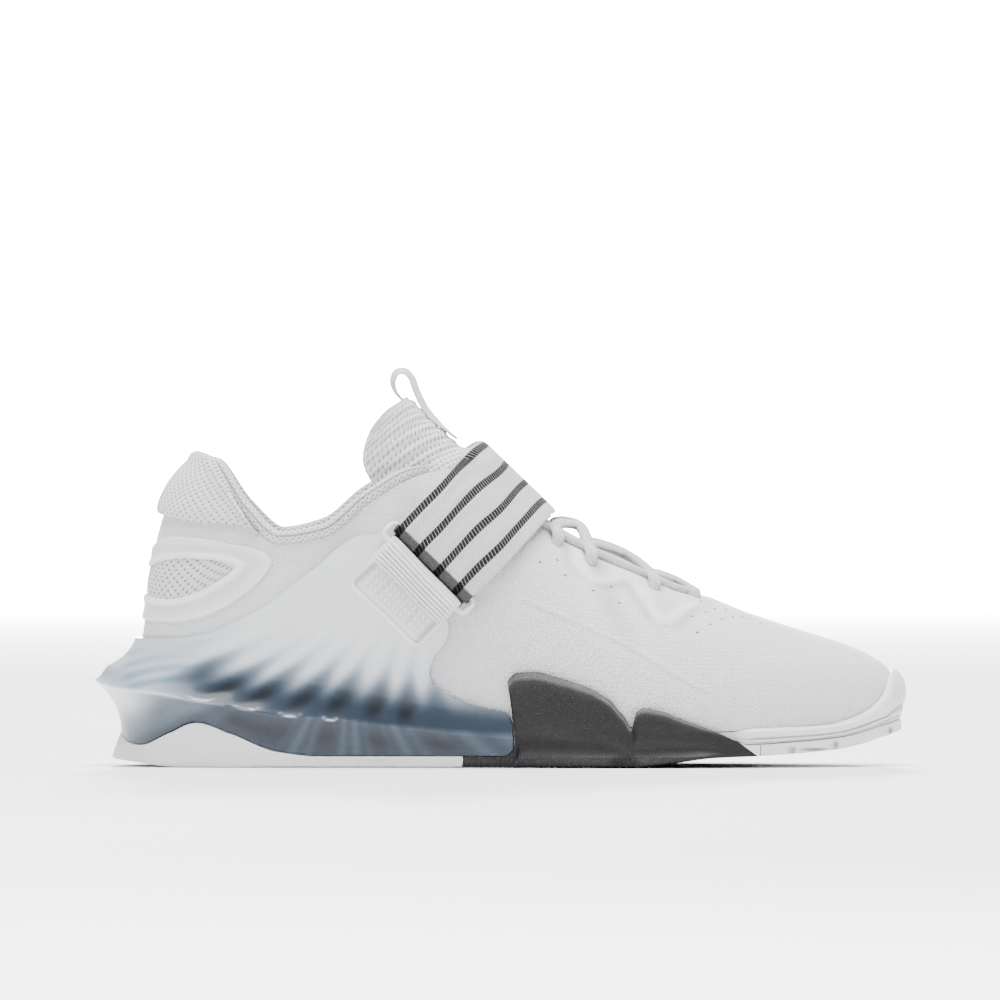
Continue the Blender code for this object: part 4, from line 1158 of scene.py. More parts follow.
@dataclass(frozen=True)
class FrostedShell:
    """The clip: frosted plastic whose depth shows as a painted tint, which also holds painted highlights on
    its ridge, with a clear gloss over it.
    """

    name: str = "frosted_shell"
    colour: Colour = (0.7, 0.75, 0.8)
    cloud: Colour = (0.97, 0.97, 0.97)
    clear: Colour = (1.0, 1.0, 1.0)
    roughness: float = 0.30
    depth: float = 0.00004

    def material(self) -> bpy.types.Material:
        """The tint is the piece's own attribute; gloss falls off where it is cloudy.

        Returns:
            The material.
        """
        graph = Graph(self.name, self.colour, self.roughness, Coat_Weight=0.15, Coat_Roughness=0.10,
                      Specular_IOR_Level=0.35)
        graph.colour(graph.mix(graph.step(graph.noise(90.0, 2.0), 0.2, 0.8), self.cloud, self.clear))
        graph.rough(graph.step(graph.noise(55.0), 0.2, 0.8, self.roughness - 0.01, self.roughness + 0.04))
        graph.bump(graph.noise(160.0, 2.0), self.depth)
        return graph.material


@dataclass(frozen=True)
class MouldedSkin:
    """Soft moulded plastic or foam skin with a very fine grain."""

    name: str
    colour: Colour
    roughness: float = 0.5
    grain: float = 900.0
    depth: float = 0.00004
    coat: float = 0.0
    speck: float = 0.0
    speck_colour: Colour = (0.08, 0.08, 0.09)

    def material(self) -> bpy.types.Material:
        """Fine noise for grain, slow noise for tone, and sparse dark specks where asked.

        Returns:
            The material.
        """
        graph = Graph(self.name, self.colour, self.roughness, Coat_Weight=self.coat, Coat_Roughness=0.25,
                      Subsurface_Weight=0.05, Subsurface_Scale=0.002)
        low = tuple(value * 0.93 for value in self.colour)
        tone = graph.mix(graph.step(graph.noise(40.0), 0.3, 0.7), low, self.colour)
        if self.speck:
            cells = graph.node("ShaderNodeTexVoronoi")
            graph.links.new(graph.place(), cells.inputs["Vector"])
            cells.inputs["Scale"].default_value = 60.0
            dot = graph.step(cells.outputs["Distance"], 0.02, 0.035, self.speck, 0.0)
            tone = graph.mix(dot, tone, self.speck_colour)
        graph.colour(tone)
        graph.rough(graph.step(graph.noise(70.0), 0.3, 0.7, self.roughness - 0.06, self.roughness + 0.08))
        graph.bump(graph.noise(self.grain, 2.0), self.depth)
        return graph.material


@dataclass(frozen=True)
class DarkRubber:
    """The forefoot's rubber: fine level grain on its fins, close upright ribs on its bottom lip."""

    name: str = "dark_rubber"
    colour: Colour = (0.014, 0.0135, 0.014)
    worn: Colour = (0.011, 0.010, 0.0115)
    thread: Colour = (0.040, 0.039, 0.040)
    lip_top: float = 0.0042
    rib: float = 0.00125
    grain: tuple[float, float] = (0.0011, 0.0009)
    depth: float = 0.00022
    tip_from: float = 0.180
    tip_slope: float = 0.73
    tip_line: float = 0.1449

    def material(self) -> bpy.types.Material:
        """Ribs are a cosine along the shoe, kept to the lip; the fins carry a faint woven grain.

        Above a slanting line at the front end the rubber is white, which leaves the dark one a pointed tip.

        Returns:
            The material.
        """
        graph = Graph(self.name, self.colour, 0.46, Specular_IOR_Level=0.3)
        x, z = graph.axis(0), graph.axis(2)
        on_lip = graph.step(z, self.lip_top - 0.0006, self.lip_top, 1.0, 0.0)
        ribs = graph.math("MULTIPLY", graph.wave(x, self.rib), on_lip)
        grain = graph.math("MULTIPLY", graph.wave(x, self.grain[0]), graph.wave(z, self.grain[1]))
        height = graph.math("MULTIPLY_ADD", grain, 0.16, ribs)
        tone = graph.mix(graph.step(graph.noise(60.0), 0.3, 0.7), self.worn, self.colour)
        tone = graph.mix(graph.math("MULTIPLY", graph.step(grain, 0.0, 1.0), 0.25), tone, self.thread)
        line = graph.math("MULTIPLY_ADD", x, self.tip_slope, z)
        ahead = graph.math("MULTIPLY", graph.step(line, self.tip_line, self.tip_line + 0.0003),
                           graph.step(x, self.tip_from, self.tip_from + 0.001))
        graph.colour(graph.mix(ahead, tone, WHITE_RUBBER))
        graph.rough(graph.step(graph.noise(80.0), 0.3, 0.7, 0.38, 0.54))
        graph.bump(height, self.depth)
        return graph.material


@dataclass
class Finishes:
    """Every finish of the shoe, made once."""

    knit: bpy.types.Material = field(default_factory=lambda: FineKnit().material())
    mesh: bpy.types.Material = field(default_factory=lambda: PaddedMesh().material())
    # The darker colour given for the window and roll meshes is the painted shade in their holes.
    window: bpy.types.Material = field(default_factory=lambda: PaddedMesh(
        "window_mesh", (0.74, 0.75, 0.77), (0.13, 0.135, 0.15), 0.0036, 0.0031, 0.0006, 0.85).material())
    roll: bpy.types.Material = field(default_factory=lambda: PaddedMesh(
        "roll_knit", (0.76, 0.77, 0.79), (0.14, 0.145, 0.16), 0.0024, 0.0022, 0.0004, 0.75).material())
    webbing: bpy.types.Material = field(default_factory=lambda: StripedWebbing().material())
    tape: bpy.types.Material = field(default_factory=lambda: Cord("tape", pitch=0.0009,
                                                                  depth=0.00008).material())
    lace: bpy.types.Material = field(default_factory=lambda: Cord("lace_braid").material())
    shell: bpy.types.Material = field(default_factory=lambda: FrostedShell().material())
    film: bpy.types.Material = field(default_factory=lambda: MouldedSkin(
        "moulded_film", (0.76, 0.77, 0.79), 0.42, coat=0.15).material())
    anchor: bpy.types.Material = field(default_factory=lambda: MouldedSkin(
        "anchor_skin", (0.80, 0.81, 0.83), 0.36, coat=0.3).material())
    foam: bpy.types.Material = field(default_factory=lambda: MouldedSkin(
        "foam_skin", (0.84, 0.85, 0.86), 0.48).material())
    heel_rubber: bpy.types.Material = field(default_factory=lambda: MouldedSkin(
        "heel_rubber", WHITE_RUBBER, 0.5, 700.0, 0.00005, speck=0.8).material())
    toe_rubber: bpy.types.Material = field(default_factory=lambda: MouldedSkin(
        "white_rubber", WHITE_RUBBER, 0.5, 700.0, 0.00005).material())
    dark: bpy.types.Material = field(default_factory=lambda: DarkRubber().material())
    # The painted shadow in the strap's gap: a dark cord finish.
    gap_shadow: bpy.types.Material = field(default_factory=lambda: Cord("gap_shadow_tape", (0.10, 0.10, 0.105))
                                       .material())
    hole: bpy.types.Material = field(default_factory=lambda: Graph("hole_shade", (0.16, 0.16, 0.17),
                                                                    0.9).material)


# Side-view outlines, in shares of the last's length and of the collar's height, and the sole's side table.

CLIP_TOP = ((0.025, 0.420), (0.064, 0.423), (0.104, 0.443), (0.137, 0.479), (0.177, 0.532), (0.210, 0.598),
            (0.243, 0.664), (0.269, 0.723), (0.296, 0.757), (0.326, 0.765))
CLIP_FRONT = ((0.4995, 0.100), (0.4935, 0.172), (0.457, 0.198), (0.413, 0.238), (0.394, 0.272),
              (0.388, 0.314), (0.396, 0.370), (0.409, 0.410), (0.414, 0.466), (0.400, 0.535),
              (0.364, 0.650), (0.326, 0.765))
CLIP_RIDGE = ((0.025, 0.251), (0.058, 0.235), (0.091, 0.215), (0.124, 0.202), (0.157, 0.185), (0.206, 0.168),
              (0.256, 0.162), (0.322, 0.139), (0.388, 0.122), (0.454, 0.106), (0.4995, 0.100))
EYE_OUTER = ((0.038, 0.750), (0.058, 0.757), (0.091, 0.750), (0.124, 0.733), (0.153, 0.723), (0.173, 0.700),
             (0.182, 0.677), (0.170, 0.624), (0.150, 0.575), (0.124, 0.529), (0.091, 0.492), (0.058, 0.476),
             (0.030, 0.478))
EYE_INNER = ((0.038, 0.676), (0.058, 0.684), (0.091, 0.681), (0.118, 0.669), (0.130, 0.654), (0.120, 0.628),
             (0.100, 0.595), (0.074, 0.565), (0.051, 0.552), (0.030, 0.556))
PAD_LOW = ((0.050, 0.818), (0.091, 0.803), (0.137, 0.795), (0.163, 0.772))
SIDE_COLUMNS = ("low_along", "top_along", "rise", "out_low", "out_top", "out_ridge")
SIDES = (
    (0.000, 0.000, 0.116, 0.60, 0.36, 1.00), (0.025, 0.025, 0.073, 0.56, 0.40, 0.80),
    (0.058, 0.058, 0.116, 0.46, 0.38, 0.66), (0.087, 0.087, 0.149, 0.40, 0.36, 0.58),
    (0.124, 0.124, 0.116, 0.37, 0.34, 0.52), (0.190, 0.190, 0.052, 0.32, 0.31, 0.42),
    (0.256, 0.256, 0.034, 0.28, 0.28, 0.34), (0.355, 0.355, 0.032, 0.24, 0.24, 0.28),
    (0.490, 0.486, 0.032, 0.22, 0.22, 0.22), (0.502, 0.505, 0.075, 0.22, 0.20, 0.22),
    (0.513, 0.492, 0.285, 0.22, 0.17, 0.22), (0.519, 0.504, 0.312, 0.22, 0.17, 0.22),
    (0.530, 0.526, 0.314, 0.22, 0.17, 0.22), (0.560, 0.560, 0.294, 0.22, 0.17, 0.22),
    (0.602, 0.602, 0.258, 0.22, 0.17, 0.22), (0.623, 0.625, 0.222, 0.22, 0.17, 0.22),
    (0.639, 0.644, 0.168, 0.22, 0.17, 0.22), (0.649, 0.653, 0.134, 0.22, 0.17, 0.22),
    (0.655, 0.659, 0.183, 0.22, 0.17, 0.22), (0.668, 0.668, 0.195, 0.22, 0.17, 0.22),
    (0.687, 0.687, 0.188, 0.22, 0.17, 0.22), (0.718, 0.718, 0.160, 0.22, 0.17, 0.22),
    (0.760, 0.760, 0.121, 0.22, 0.17, 0.22), (0.792, 0.792, 0.084, 0.22, 0.18, 0.22),
    (0.819, 0.819, 0.054, 0.22, 0.19, 0.22), (0.856, 0.856, 0.068, 0.22, 0.20, 0.22),
    (0.907, 0.907, 0.086, 0.22, 0.20, 0.22), (0.956, 0.956, 0.108, 0.22, 0.20, 0.22),
    (0.986, 0.986, 0.122, 0.22, 0.20, 0.22), (1.000, 1.000, 0.130, 0.22, 0.20, 0.22),
)
UNDERSIDE = ((-0.060, 0.30), (0.000, 0.16), (0.040, 0.03), (0.070, 0.00), (0.655, 0.00), (0.700, 0.12),
             (0.760, 0.30), (0.820, 0.36), (0.886, 0.46), (0.930, 0.56), (0.960, 0.72), (0.985, 0.90),
             (1.015, 1.10))
BITE_LINE = ((0.780, 0.122), (0.800, 0.129), (0.886, 0.135), (0.915, 0.142), (0.936, 0.157), (0.956, 0.178),
             (0.971, 0.207), (0.981, 0.240), (0.990, 0.285), (1.000, 0.311))


@dataclass
class SoleColumns:
    """The sole's side table spread over fine columns, heel to toe on the outer side and back."""

    pitch: float = 0.08
    fin_span: tuple[float, float] = (7.5, 11.8)
    flare: float = 0.0155
    spring: float = 0.012
    plate: float = 0.0036
    round_edge: float = 0.0012
    clearance: float = 0.0003

    def __post_init__(self) -> None:
        """Reads each column of the table between its rows, with curves that don't overshoot."""
        rows = {name: np.array([row[i] for row in SIDES]) for i, name in enumerate(SIDE_COLUMNS)}
        low_u = LAST.place_u(np.clip(rows["low_along"], 0, 1), 0 * rows["low_along"])
        top_u = LAST.place_u(np.clip(rows["top_along"], 0, 1), np.minimum(rows["rise"], 0.25))
        low_u[0] = top_u[0] = 0.0
        low_u[-1] = top_u[-1] = TOE
        at = np.arange(len(SIDES))
        steps = np.maximum(np.ceil(np.diff(low_u) / self.pitch), 4).astype(int)
        parts = [np.linspace(i, i + 1, n, endpoint=False) for i, n in enumerate(steps)]
        index = np.concatenate(parts + [at[-1:]])
        spread = {name: hermite(rows[name], even_slopes(rows[name]), index) for name in SIDE_COLUMNS[2:]}
        spread["low_u"] = np.interp(index, at, low_u)
        fins = at[(low_u > self.fin_span[0]) & (low_u < self.fin_span[1])]
        plain = (index < fins[0]) | (index > fins[-1])
        spread["top_u"] = np.where(plain, spread["low_u"], np.interp(index, at, top_u))
        self.low_u = self.round(spread["low_u"], True)
        self.top_u = self.round(spread["top_u"], True)
        self.side = spread
        base, outward = LAST.foot(self.low_u)
        self.base = base
        self.along = (base[:, 0] - LAST.heel_back) / LAST.length
        self.out_low = self.round(spread["out_low"]) * self.flare
        self.out_top = self.round(spread["out_top"]) * self.flare
        self.out_ridge = self.round(spread["out_ridge"]) * self.flare
        self.floor = self.underside((base + outward * self.out_low[:, None])[:, 0])
        self.top = np.maximum(self.round(spread["rise"]) * LAST.collar_height,
                              self.floor + self.plate + self.round_edge / 2)

    @staticmethod
    def round(values: Array, mirror: bool = False) -> Array:
        """A column on the outer side with the inner side's after it.

        Args:
            values: The outer side's values.
            mirror: Whether they are rib numbers.

        Returns:
            Values once round the shoe.
        """
        other = ROUND - values[-2:0:-1] if mirror else values[-2:0:-1]
        return np.concatenate([values, other])

    def underside(self, x: Array) -> Array:
        """Height of the sole's underside at x.

        Args:
            x: Places along the shoe.

        Returns:
            Heights.
        """
        return table_curve(UNDERSIDE, (x - LAST.heel_back) / LAST.length) * self.spring


class Dresser:
    """What every sub-assembly shares: the finishes, its sizes, and the pieces made so far."""

    def __init__(self, finishes: Finishes, sizes: object) -> None:
        """Keeps the finishes and sizes.

        Args:
            finishes: The shoe's finishes.
            sizes: The sub-assembly's sizes.
        """
        self.finishes = finishes
        self.sizes = sizes
        self.pieces: list[bpy.types.Object] = []

    def keep(self, piece: bpy.types.Object, slot: str, nodes: Iterable[str] = ()) -> bpy.types.Object:
        """Records a piece and hides the solids that it stands for.

        Args:
            piece: The piece.
            slot: Its material slot; not used.
            nodes: The solids that it stands for.

        Returns:
            The piece.
        """
        if nodes:
            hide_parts(*nodes)
        self.pieces.append(piece)
        log.info("%s: %d faces", piece.name, len(piece.data.polygons))
        return piece


@dataclass
class UpperSizes:
    """Sizes of the upper's wall and of the low relief pressed into it."""

    wall: float = 0.0022
    throat_end: float = 12.0
    columns: int = 480
    rows: int = 96
    stay: float = 0.0005
    press: float = 0.00011
    crease: float = 0.00042
    crease_x: float = 0.139
    crease_lean: float = 0.35
    flex: float = 0.00022
    flex_x: float = 0.150
    flex_half: float = 0.0105
    pull: float = 0.00018
    pull_x: float = 0.078
    pull_half: float = 0.013
    heel_swell: float = 0.0004
    hole_radius: float = 0.00048
    hole_proud: float = 0.00010
    hole_depth: float = 0.0003


class Upper(Dresser):
    """The hollow knit upper, with its eyestay, scallops, pressed line, creases and pinholes."""

    sizes: UpperSizes
    SCALLOP = ((0.566, 0.684), (0.586, 0.640), (0.602, 0.611), (0.622, 0.604), (0.642, 0.612),
               (0.652, 0.600), (0.662, 0.562), (0.674, 0.520), (0.688, 0.478), (0.706, 0.474),
               (0.728, 0.512), (0.748, 0.536), (0.774, 0.556))
    PRESSED = ((0.500, 0.558), (0.590, 0.459), (0.656, 0.383), (0.709, 0.301), (0.771, 0.218))
    PINHOLES = ((540, 562), (557, 560), (565, 575), (593, 590), (611, 586), (619, 602), (691, 616),
                (696, 632), (709, 624), (700, 602), (709, 602), (705, 612), (714, 609), (721, 619),
                (725, 610), (732, 617), (742, 617), (751, 619), (760, 623))

    def relief(self, u: Array, v: Array, point: Array) -> Array:
        """How far the surface stands off the last: bands, lines and creases, each a soft bell or step.

        Args:
            u: Rib numbers.
            v: Places on the ribs.
            point: The points themselves.

        Returns:
            Distances in metres.
        """
        s = self.sizes
        x, z = point[..., 0], point[..., 2]
        side = np.minimum(u, ROUND - u)
        gap, inside = self.line_gap(point, self.SCALLOP)
        out = s.stay * inside * smooth(-0.0014, 0.0016, gap) * (0.55 + 0.45 * swell(0.0, 0.006, gap))
        gap, inside = self.line_gap(point, self.PRESSED)
        out += s.press * inside * (0.6 * swell(0.0013, 0.0009, gap) - swell(0.0, 0.0009, gap))
        crease = swell(s.crease_x, 0.006, x - s.crease_lean * (0.06 - z))
        out -= s.crease * crease * smooth(8.6, 9.4, side) * smooth(0.25, 0.65, v)
        flex = np.sin((x - s.flex_x) / s.flex_half * math.pi) * smooth(0.15, 0.55, v)
        out += s.flex * flex * swell(s.flex_x + 0.008, 0.020, x) * smooth(10.4, 12.5, side)
        pull = np.sin((x + 0.6 * z) / s.pull_half * math.pi)
        out += s.pull * pull * swell(s.pull_x, 0.018, x) * smooth(0.3, 0.6, v)
        return out + s.heel_swell * swell(0.5, 0.22, v) * swell(4.4, 1.4, side)

    @staticmethod
    def line_gap(point: Array, rows: Sequence[Sequence[float]]) -> tuple[Array, Array]:
        """How far points lie above a side-view line, square to it, and whether they lie within its ends.

        Args:
            point: Points.
            rows: The line, as shares of the last's length and of the collar's height.

        Returns:
            Distances, and a share that fades to nought beyond the ends.
        """
        line = outline(np.array(rows) * np.array([LAST.length, LAST.collar_height]), 120)
        line[:, 0] += LAST.heel_back
        x = point[..., 0]
        height = np.interp(x, line[:, 0], line[:, 1])
        slope = np.interp(x, line[1:, 0], np.diff(line[:, 1]) / np.diff(line[:, 0]))
        gap = (point[..., 2] - height) / np.sqrt(1 + slope ** 2)
        first, last = line[0, 0], line[-1, 0]
        return gap, smooth(first, first + 0.006, x) * (1 - smooth(last - 0.012, last, x))

    def grids(self) -> tuple[Array, Array, Array, Array, Array]:
        """The outer and inner faces, the pattern's coordinates, the painted shade of its relief, and the
        ridge's columns.

        Returns:
            Two grids of points, one of pattern coordinates, one of painted shade, and a mask.
        """
        u = np.linspace(0, ROUND, self.sizes.columns, endpoint=False)
        v = np.linspace(0, 1, self.sizes.rows)
        uu, vv = np.meshgrid(u, v)
        surface = LAST.rib(uu, vv)
        along = LAST.rib(uu + 0.04, vv) - LAST.rib(uu - 0.04, vv)
        up = LAST.rib(uu, np.minimum(vv + 0.004, 1)) - LAST.rib(uu, np.maximum(vv - 0.004, 0))
        normal = np.cross(along, up)
        toe = np.abs(uu[-1] - TOE) < 0.06
        normal[-1, toe] = normal[-2, toe]
        normal = unit(normal)
        ridge = (u >= self.sizes.throat_end) & (u <= ROUND - self.sizes.throat_end)
        other = (self.sizes.columns - np.arange(self.sizes.columns)) % self.sizes.columns
        normal[-1, ridge] = unit(normal[-1] + normal[-1, other])[ridge]
        relief = self.relief(uu, vv, surface)
        relief[-1, ridge] = (relief[-1] + relief[-1, other])[ridge] / 2
        outer = surface + normal * relief[..., None]
        inner = surface - normal * self.sizes.wall
        inner[0, :, 2] = outer[0, :, 2]
        foot, head = run_lengths(surface[0]), run_lengths(surface[-1])
        uv = np.stack([foot[None] * (1 - vv) + head[None] * vv, run_lengths(surface)], axis=-1)
        # The tint is painted shade: darker in the relief's hollows, lighter on its crests.
        return outer, inner, uv, painted_relief_shade(relief, 0.42, 0.00022), ridge

    def build(self) -> None:
        """The wall, closed at its foot, collar and throat, and joined over the ridge ahead of it."""
        outer, inner, uv, tint, ridge = self.grids()
        rows, columns = outer.shape[:2]
        count = rows * columns
        here = np.arange(columns)
        after = (here + 1) % columns
        foot = np.stack([here, count + here, count + after, after], axis=1)
        top = (rows - 1) * columns
        rim = np.stack([top + here, top + after, count + top + after, count + top + here], axis=1)
        rim = rim[~(ridge & np.roll(ridge, -1))]
        faces = np.concatenate([grid_faces(rows, columns, 0, True),
                                grid_faces(rows, columns, count, True)[:, ::-1], foot, rim])
        points = np.concatenate([outer.reshape(-1, 3), inner.reshape(-1, 3)])
        flat = np.tile(uv.reshape(-1, 2), (2, 1))
        upper = make_piece("upper_knit", points, faces, self.finishes.knit, flat,
                           np.tile(tint.reshape(-1, 3), (2, 1)), 60.0, 2e-5)
        self.keep(upper, "knit", ["upper"])
        self.pinholes()

    def pinholes(self) -> None:
        """Small discs painted dark as the shade inside a pinhole, one for each pinhole, that lie just proud
        of the knit, on both sides.
        """
        place = np.array(self.PINHOLES, float)
        x = (place[:, 0] - ORIGIN_PX) * PIXEL
        z = (FLOOR_PX - place[:, 1]) * PIXEL
        u = LAST.place_u((x - LAST.heel_back) / LAST.length, z / LAST.collar_height)
        u = np.concatenate([u, ROUND - u])
        z = np.concatenate([z, z])
        point, normal = LAST.skin(u, z), LAST.normals(u, z)
        span = np.linalg.norm(LAST.head(u) - LAST.foot(u)[0], axis=-1)
        v = np.clip(1 - (LAST.head(u)[:, 2] - z) / span, 0, 1)
        lift = self.relief(u, v, point) + self.sizes.hole_proud
        side = unit(np.cross(normal, np.array([0.0, 0.0, 1.0])))
        rise = np.cross(side, normal)
        angle = np.linspace(0, 2 * math.pi, 12, endpoint=False)
        ring = (side[:, None] * np.cos(angle)[None, :, None] + rise[:, None] * np.sin(angle)[None, :, None])
        middle = (point + normal * lift[:, None])[:, None]
        radius, sunk = self.sizes.hole_radius, normal[:, None] * self.sizes.hole_depth
        grid = np.stack([middle + 0 * ring, middle + ring * radius, middle + ring * (radius + 0.00008) - sunk,
                         middle - sunk + 0 * ring], axis=1)
        quads = grid_faces(4, 12, 0, True)[None] + np.arange(len(u))[:, None, None] * 48
        holes = make_piece("upper_pinholes", grid.reshape(-1, 3), quads.reshape(-1, 4), self.finishes.hole)
        self.keep(holes, "knit")


@dataclass
class ClipSizes:
    """Sizes of the heel clip and of the tints seen in its depth."""

    seat: float = 0.0009
    thickness: float = 0.0015
    inner_stand: float = 0.0006
    sweep: float = 0.020
    even: float = 2.5
    flute: float = 0.0005
    columns: int = 300
    rows: int = 50


@dataclass(frozen=True)
class ClipTints:
    """Colours seen in the clip, and where they lie.

    Places along are pairs of the photograph's pixels between which a tint sets in. Heights are pixels up
    from the ridge.
    """

    milk: Colour = (0.78, 0.80, 0.82)
    pale: Colour = (0.23, 0.31, 0.40)
    slate: Colour = (0.026, 0.040, 0.062)
    dark: Colour = (0.007, 0.009, 0.013)
    spur: tuple[float, float] = (102.0, 134.0)
    slate_from: tuple[float, float] = (150.0, 215.0)
    heel_to: tuple[float, float] = (180.0, 270.0)
    arm_front: tuple[float, float] = (420.0, 470.0)
    hollows_from: tuple[float, float] = (190.0, 212.0)
    hollows_to: tuple[float, float] = (418.0, 432.0)
    low_spur: tuple[float, float] = (102.0, 132.0)
    low_from: tuple[float, float] = (122.0, 168.0)
    low_full: tuple[float, float] = (168.0, 235.0)
    low_hollows_from: tuple[float, float] = (212.0, 240.0)
    low_hollows_to: tuple[float, float] = (455.0, 480.0)
    slate_height: float = 46.0
    slate_in_finger: float = 20.0
    haze_height: float = 78.0
    haze_in_finger: float = 26.0
    hollow_height: float = 16.0
    hollow_half: float = 11.0
    low_finger_half: float = 6.5
    ridge_highlight_half: float = 1.6


class HeelClip(Dresser):
    """The frosted clip: a ridge round the heel, an arm up each side, and dark hollows seen through it."""

    sizes: ClipSizes
    FOCUS = (425.0, 560.0)
    FINGERS = (20.0, 26.0, 32.8, 39.5, 48.8, 58.5, 71.3, 82.7, 95.0, 110.0)
    LOW_FOCUS = (350.0, 640.0)
    LOW_FINGERS = (135.0, 145.4, 128.8, 103.2, 74.0, 49.1)
    GLINTS = ((203, 699, 13), (248, 708, 13), (291, 715, 11), (331, 719, 8))

    def __init__(self, finishes: Finishes, sizes: ClipSizes) -> None:
        """Keeps the finishes and sizes.

        Args:
            finishes: The shoe's finishes.
            sizes: The clip's sizes.
        """
        super().__init__(finishes, sizes)
        self.tints = ClipTints()
        self.sole = SoleColumns()

    def grid(self) -> tuple[Array, Array, Array]:
        """(u, z) points of the outer side, the ridge's height at each, and the seam's height below.

        Rows run from the sole's top edge to the ridge and on to the top edge, while the columns tip
        forward into the arm: u and z are straight blends of ridge and top plus the front edge's bulge.

        Returns:
            Three grids, sole to top edge by heel to front.
        """
        side = self.sole.side
        count = int(np.argmax(np.diff(side["top_u"]) < 0)) + 1
        top_u, rise = side["top_u"][:count], side["rise"][:count]
        front = LAST.side_line(CLIP_FRONT, self.sizes.rows)
        u = np.linspace(0, 1, self.sizes.columns) ** 1.05 * front[0, 0]
        line = LAST.side_line(CLIP_RIDGE, 160, 0.284)
        ridge = np.stack([u, np.interp(u, line[:, 0], line[:, 1])], axis=1)
        floor = np.interp(u, side["low_u"], self.sole.floor[:len(side["low_u"])])
        seam = np.maximum(np.interp(u, top_u, rise) * LAST.collar_height,
                          floor + self.sole.plate + self.sole.round_edge / 2) + self.sole.clearance
        edge = LAST.side_line(CLIP_TOP, 160, 0.420)
        pull = np.clip((u - self.sizes.even) / (u[-1] - self.sizes.even), 0, 1)
        high_u = np.where(u < self.sizes.even, u, self.sizes.even + (edge[-1, 0] - self.sizes.even) * pull)
        top = np.stack([high_u, np.interp(high_u, edge[:, 0], edge[:, 1])], axis=1)
        t = np.linspace(0, 1, self.sizes.rows)[:, None, None]
        bulge = front - (front[0] + (front[-1] - front[0]) * t[:, 0])
        arm = ridge[None] * (1 - t) + top[None] * t + bulge[:, None] * pull[None, :, None] ** 1.5
        low = np.stack([u, seam], axis=1)
        share = np.linspace(0, 1, 22, endpoint=False)[:, None, None]
        whole = np.concatenate([low[None] * (1 - share) + ridge[None] * share, arm])
        height = np.interp(whole[..., 0], ridge[:, 0], ridge[:, 1])
        return whole, height, np.broadcast_to(seam, whole.shape[:2])

    def fingers(self, px: Array, py: Array) -> Array:
        """How far a place lies in one of the fingers that fan down from the arm: 1 in its middle, 0 between.

        Args:
            px: Place along, in the photograph's pixels.
            py: Place down.

        Returns:
            Shares from 0 to 1.
        """
        turn = np.degrees(np.arctan2(py - self.FOCUS[1], self.FOCUS[0] - px))
        number = np.interp(turn, self.FINGERS, np.arange(len(self.FINGERS)))
        return np.cos(math.pi * number) ** 2

    @staticmethod
    def blend(low: Array, high: Array, share: Array) -> Array:
        """Mixes colours evenly to the eye: the cube of the straight mix of their cube roots.

        Args:
            low: The colour at share 0.
            high: The colour at share 1.
            share: Shares, one for each point.

        Returns:
            Colours.
        """
        return (np.cbrt(low) + (np.cbrt(high) - np.cbrt(low)) * np.clip(share, 0, 1)[..., None]) ** 3

    def tint(self, point: Array, ridge_z: Array, seam_z: Array) -> Array:
        """The colour seen in the clip's depth.

        Milky white above fades through pale blue to slate blue above the ridge, reaching higher in the
        fingers than between them. The darkest part of each finger is a hollow just over the ridge. Below
        the ridge slate blue is broken by softer hollows and light streaks, and it pales to white at the
        heel's back. A painted highlight runs along the ridge line, and painted glints lie on it.

        Args:
            point: Points of the outer face.
            ridge_z: Height of the ridge at each.
            seam_z: Height of the sole's edge at each.

        Returns:
            Colours, one for each point.
        """
        t = self.tints
        milk, pale, slate, dark = (np.array(colour) for colour in (t.milk, t.pale, t.slate, t.dark))
        px, py = photo_place(point)
        over = FLOOR_PX - ridge_z / PIXEL - py
        finger = self.fingers(px, py)
        above = self.above(px, py, over, finger, (milk, pale, slate))
        hollow = finger ** 1.8 * swell(t.hollow_height, t.hollow_half, over)
        hollow = hollow * smooth(*t.hollows_from, px) * (1 - smooth(*t.hollows_to, px))
        above = self.blend(above, dark, 0.78 * hollow)
        turn = np.degrees(np.arctan2(py - self.LOW_FOCUS[1], px - self.LOW_FOCUS[0]))
        low = np.clip(sum(swell(middle, t.low_finger_half, turn) for middle in self.LOW_FINGERS), 0, 1)
        depth = np.clip(-over / np.maximum((ridge_z - seam_z) / PIXEL, 1), 0, 1)
        bright = 0.5 + 0.5 * np.cos(np.radians(turn) * 46)
        tone = self.blend(slate, pale, 0.22 * bright * (1 - low))
        body = 0.70 * smooth(*t.low_from, px) + 0.30 * smooth(*t.low_full, px)
        share = body * 0.97 + 0.85 * (1 - body) * smooth(0.15, 0.95, depth) * smooth(*t.low_spur, px)
        under = self.blend(milk * 0.92, tone, share)
        hollow = 0.66 * low * swell(0.50, 0.30, depth)
        hollow = hollow * smooth(*t.low_hollows_from, px) * (1 - smooth(*t.low_hollows_to, px))
        under = self.blend(under, dark, hollow)
        colour = np.where((over > 0)[..., None], above, under)
        # Painted highlight along the ridge line.
        lip = swell(0.0, t.ridge_highlight_half, over) * (0.12 + 0.22 * (1 - smooth(120.0, 240.0, px)))
        colour = self.blend(colour, milk, lip)
        # Painted glints on the ridge between the hollows.
        for middle, level, half in self.GLINTS:
            bow = py - level + 2.5 * ((px - middle) / half) ** 2 - 0.10 * (px - middle)
            glint = np.exp(-bow ** 2 - np.abs((px - middle) / half) ** 4)
            colour = self.blend(colour, milk * 1.1, 0.85 * glint)
        return np.clip(colour, 0, 1)

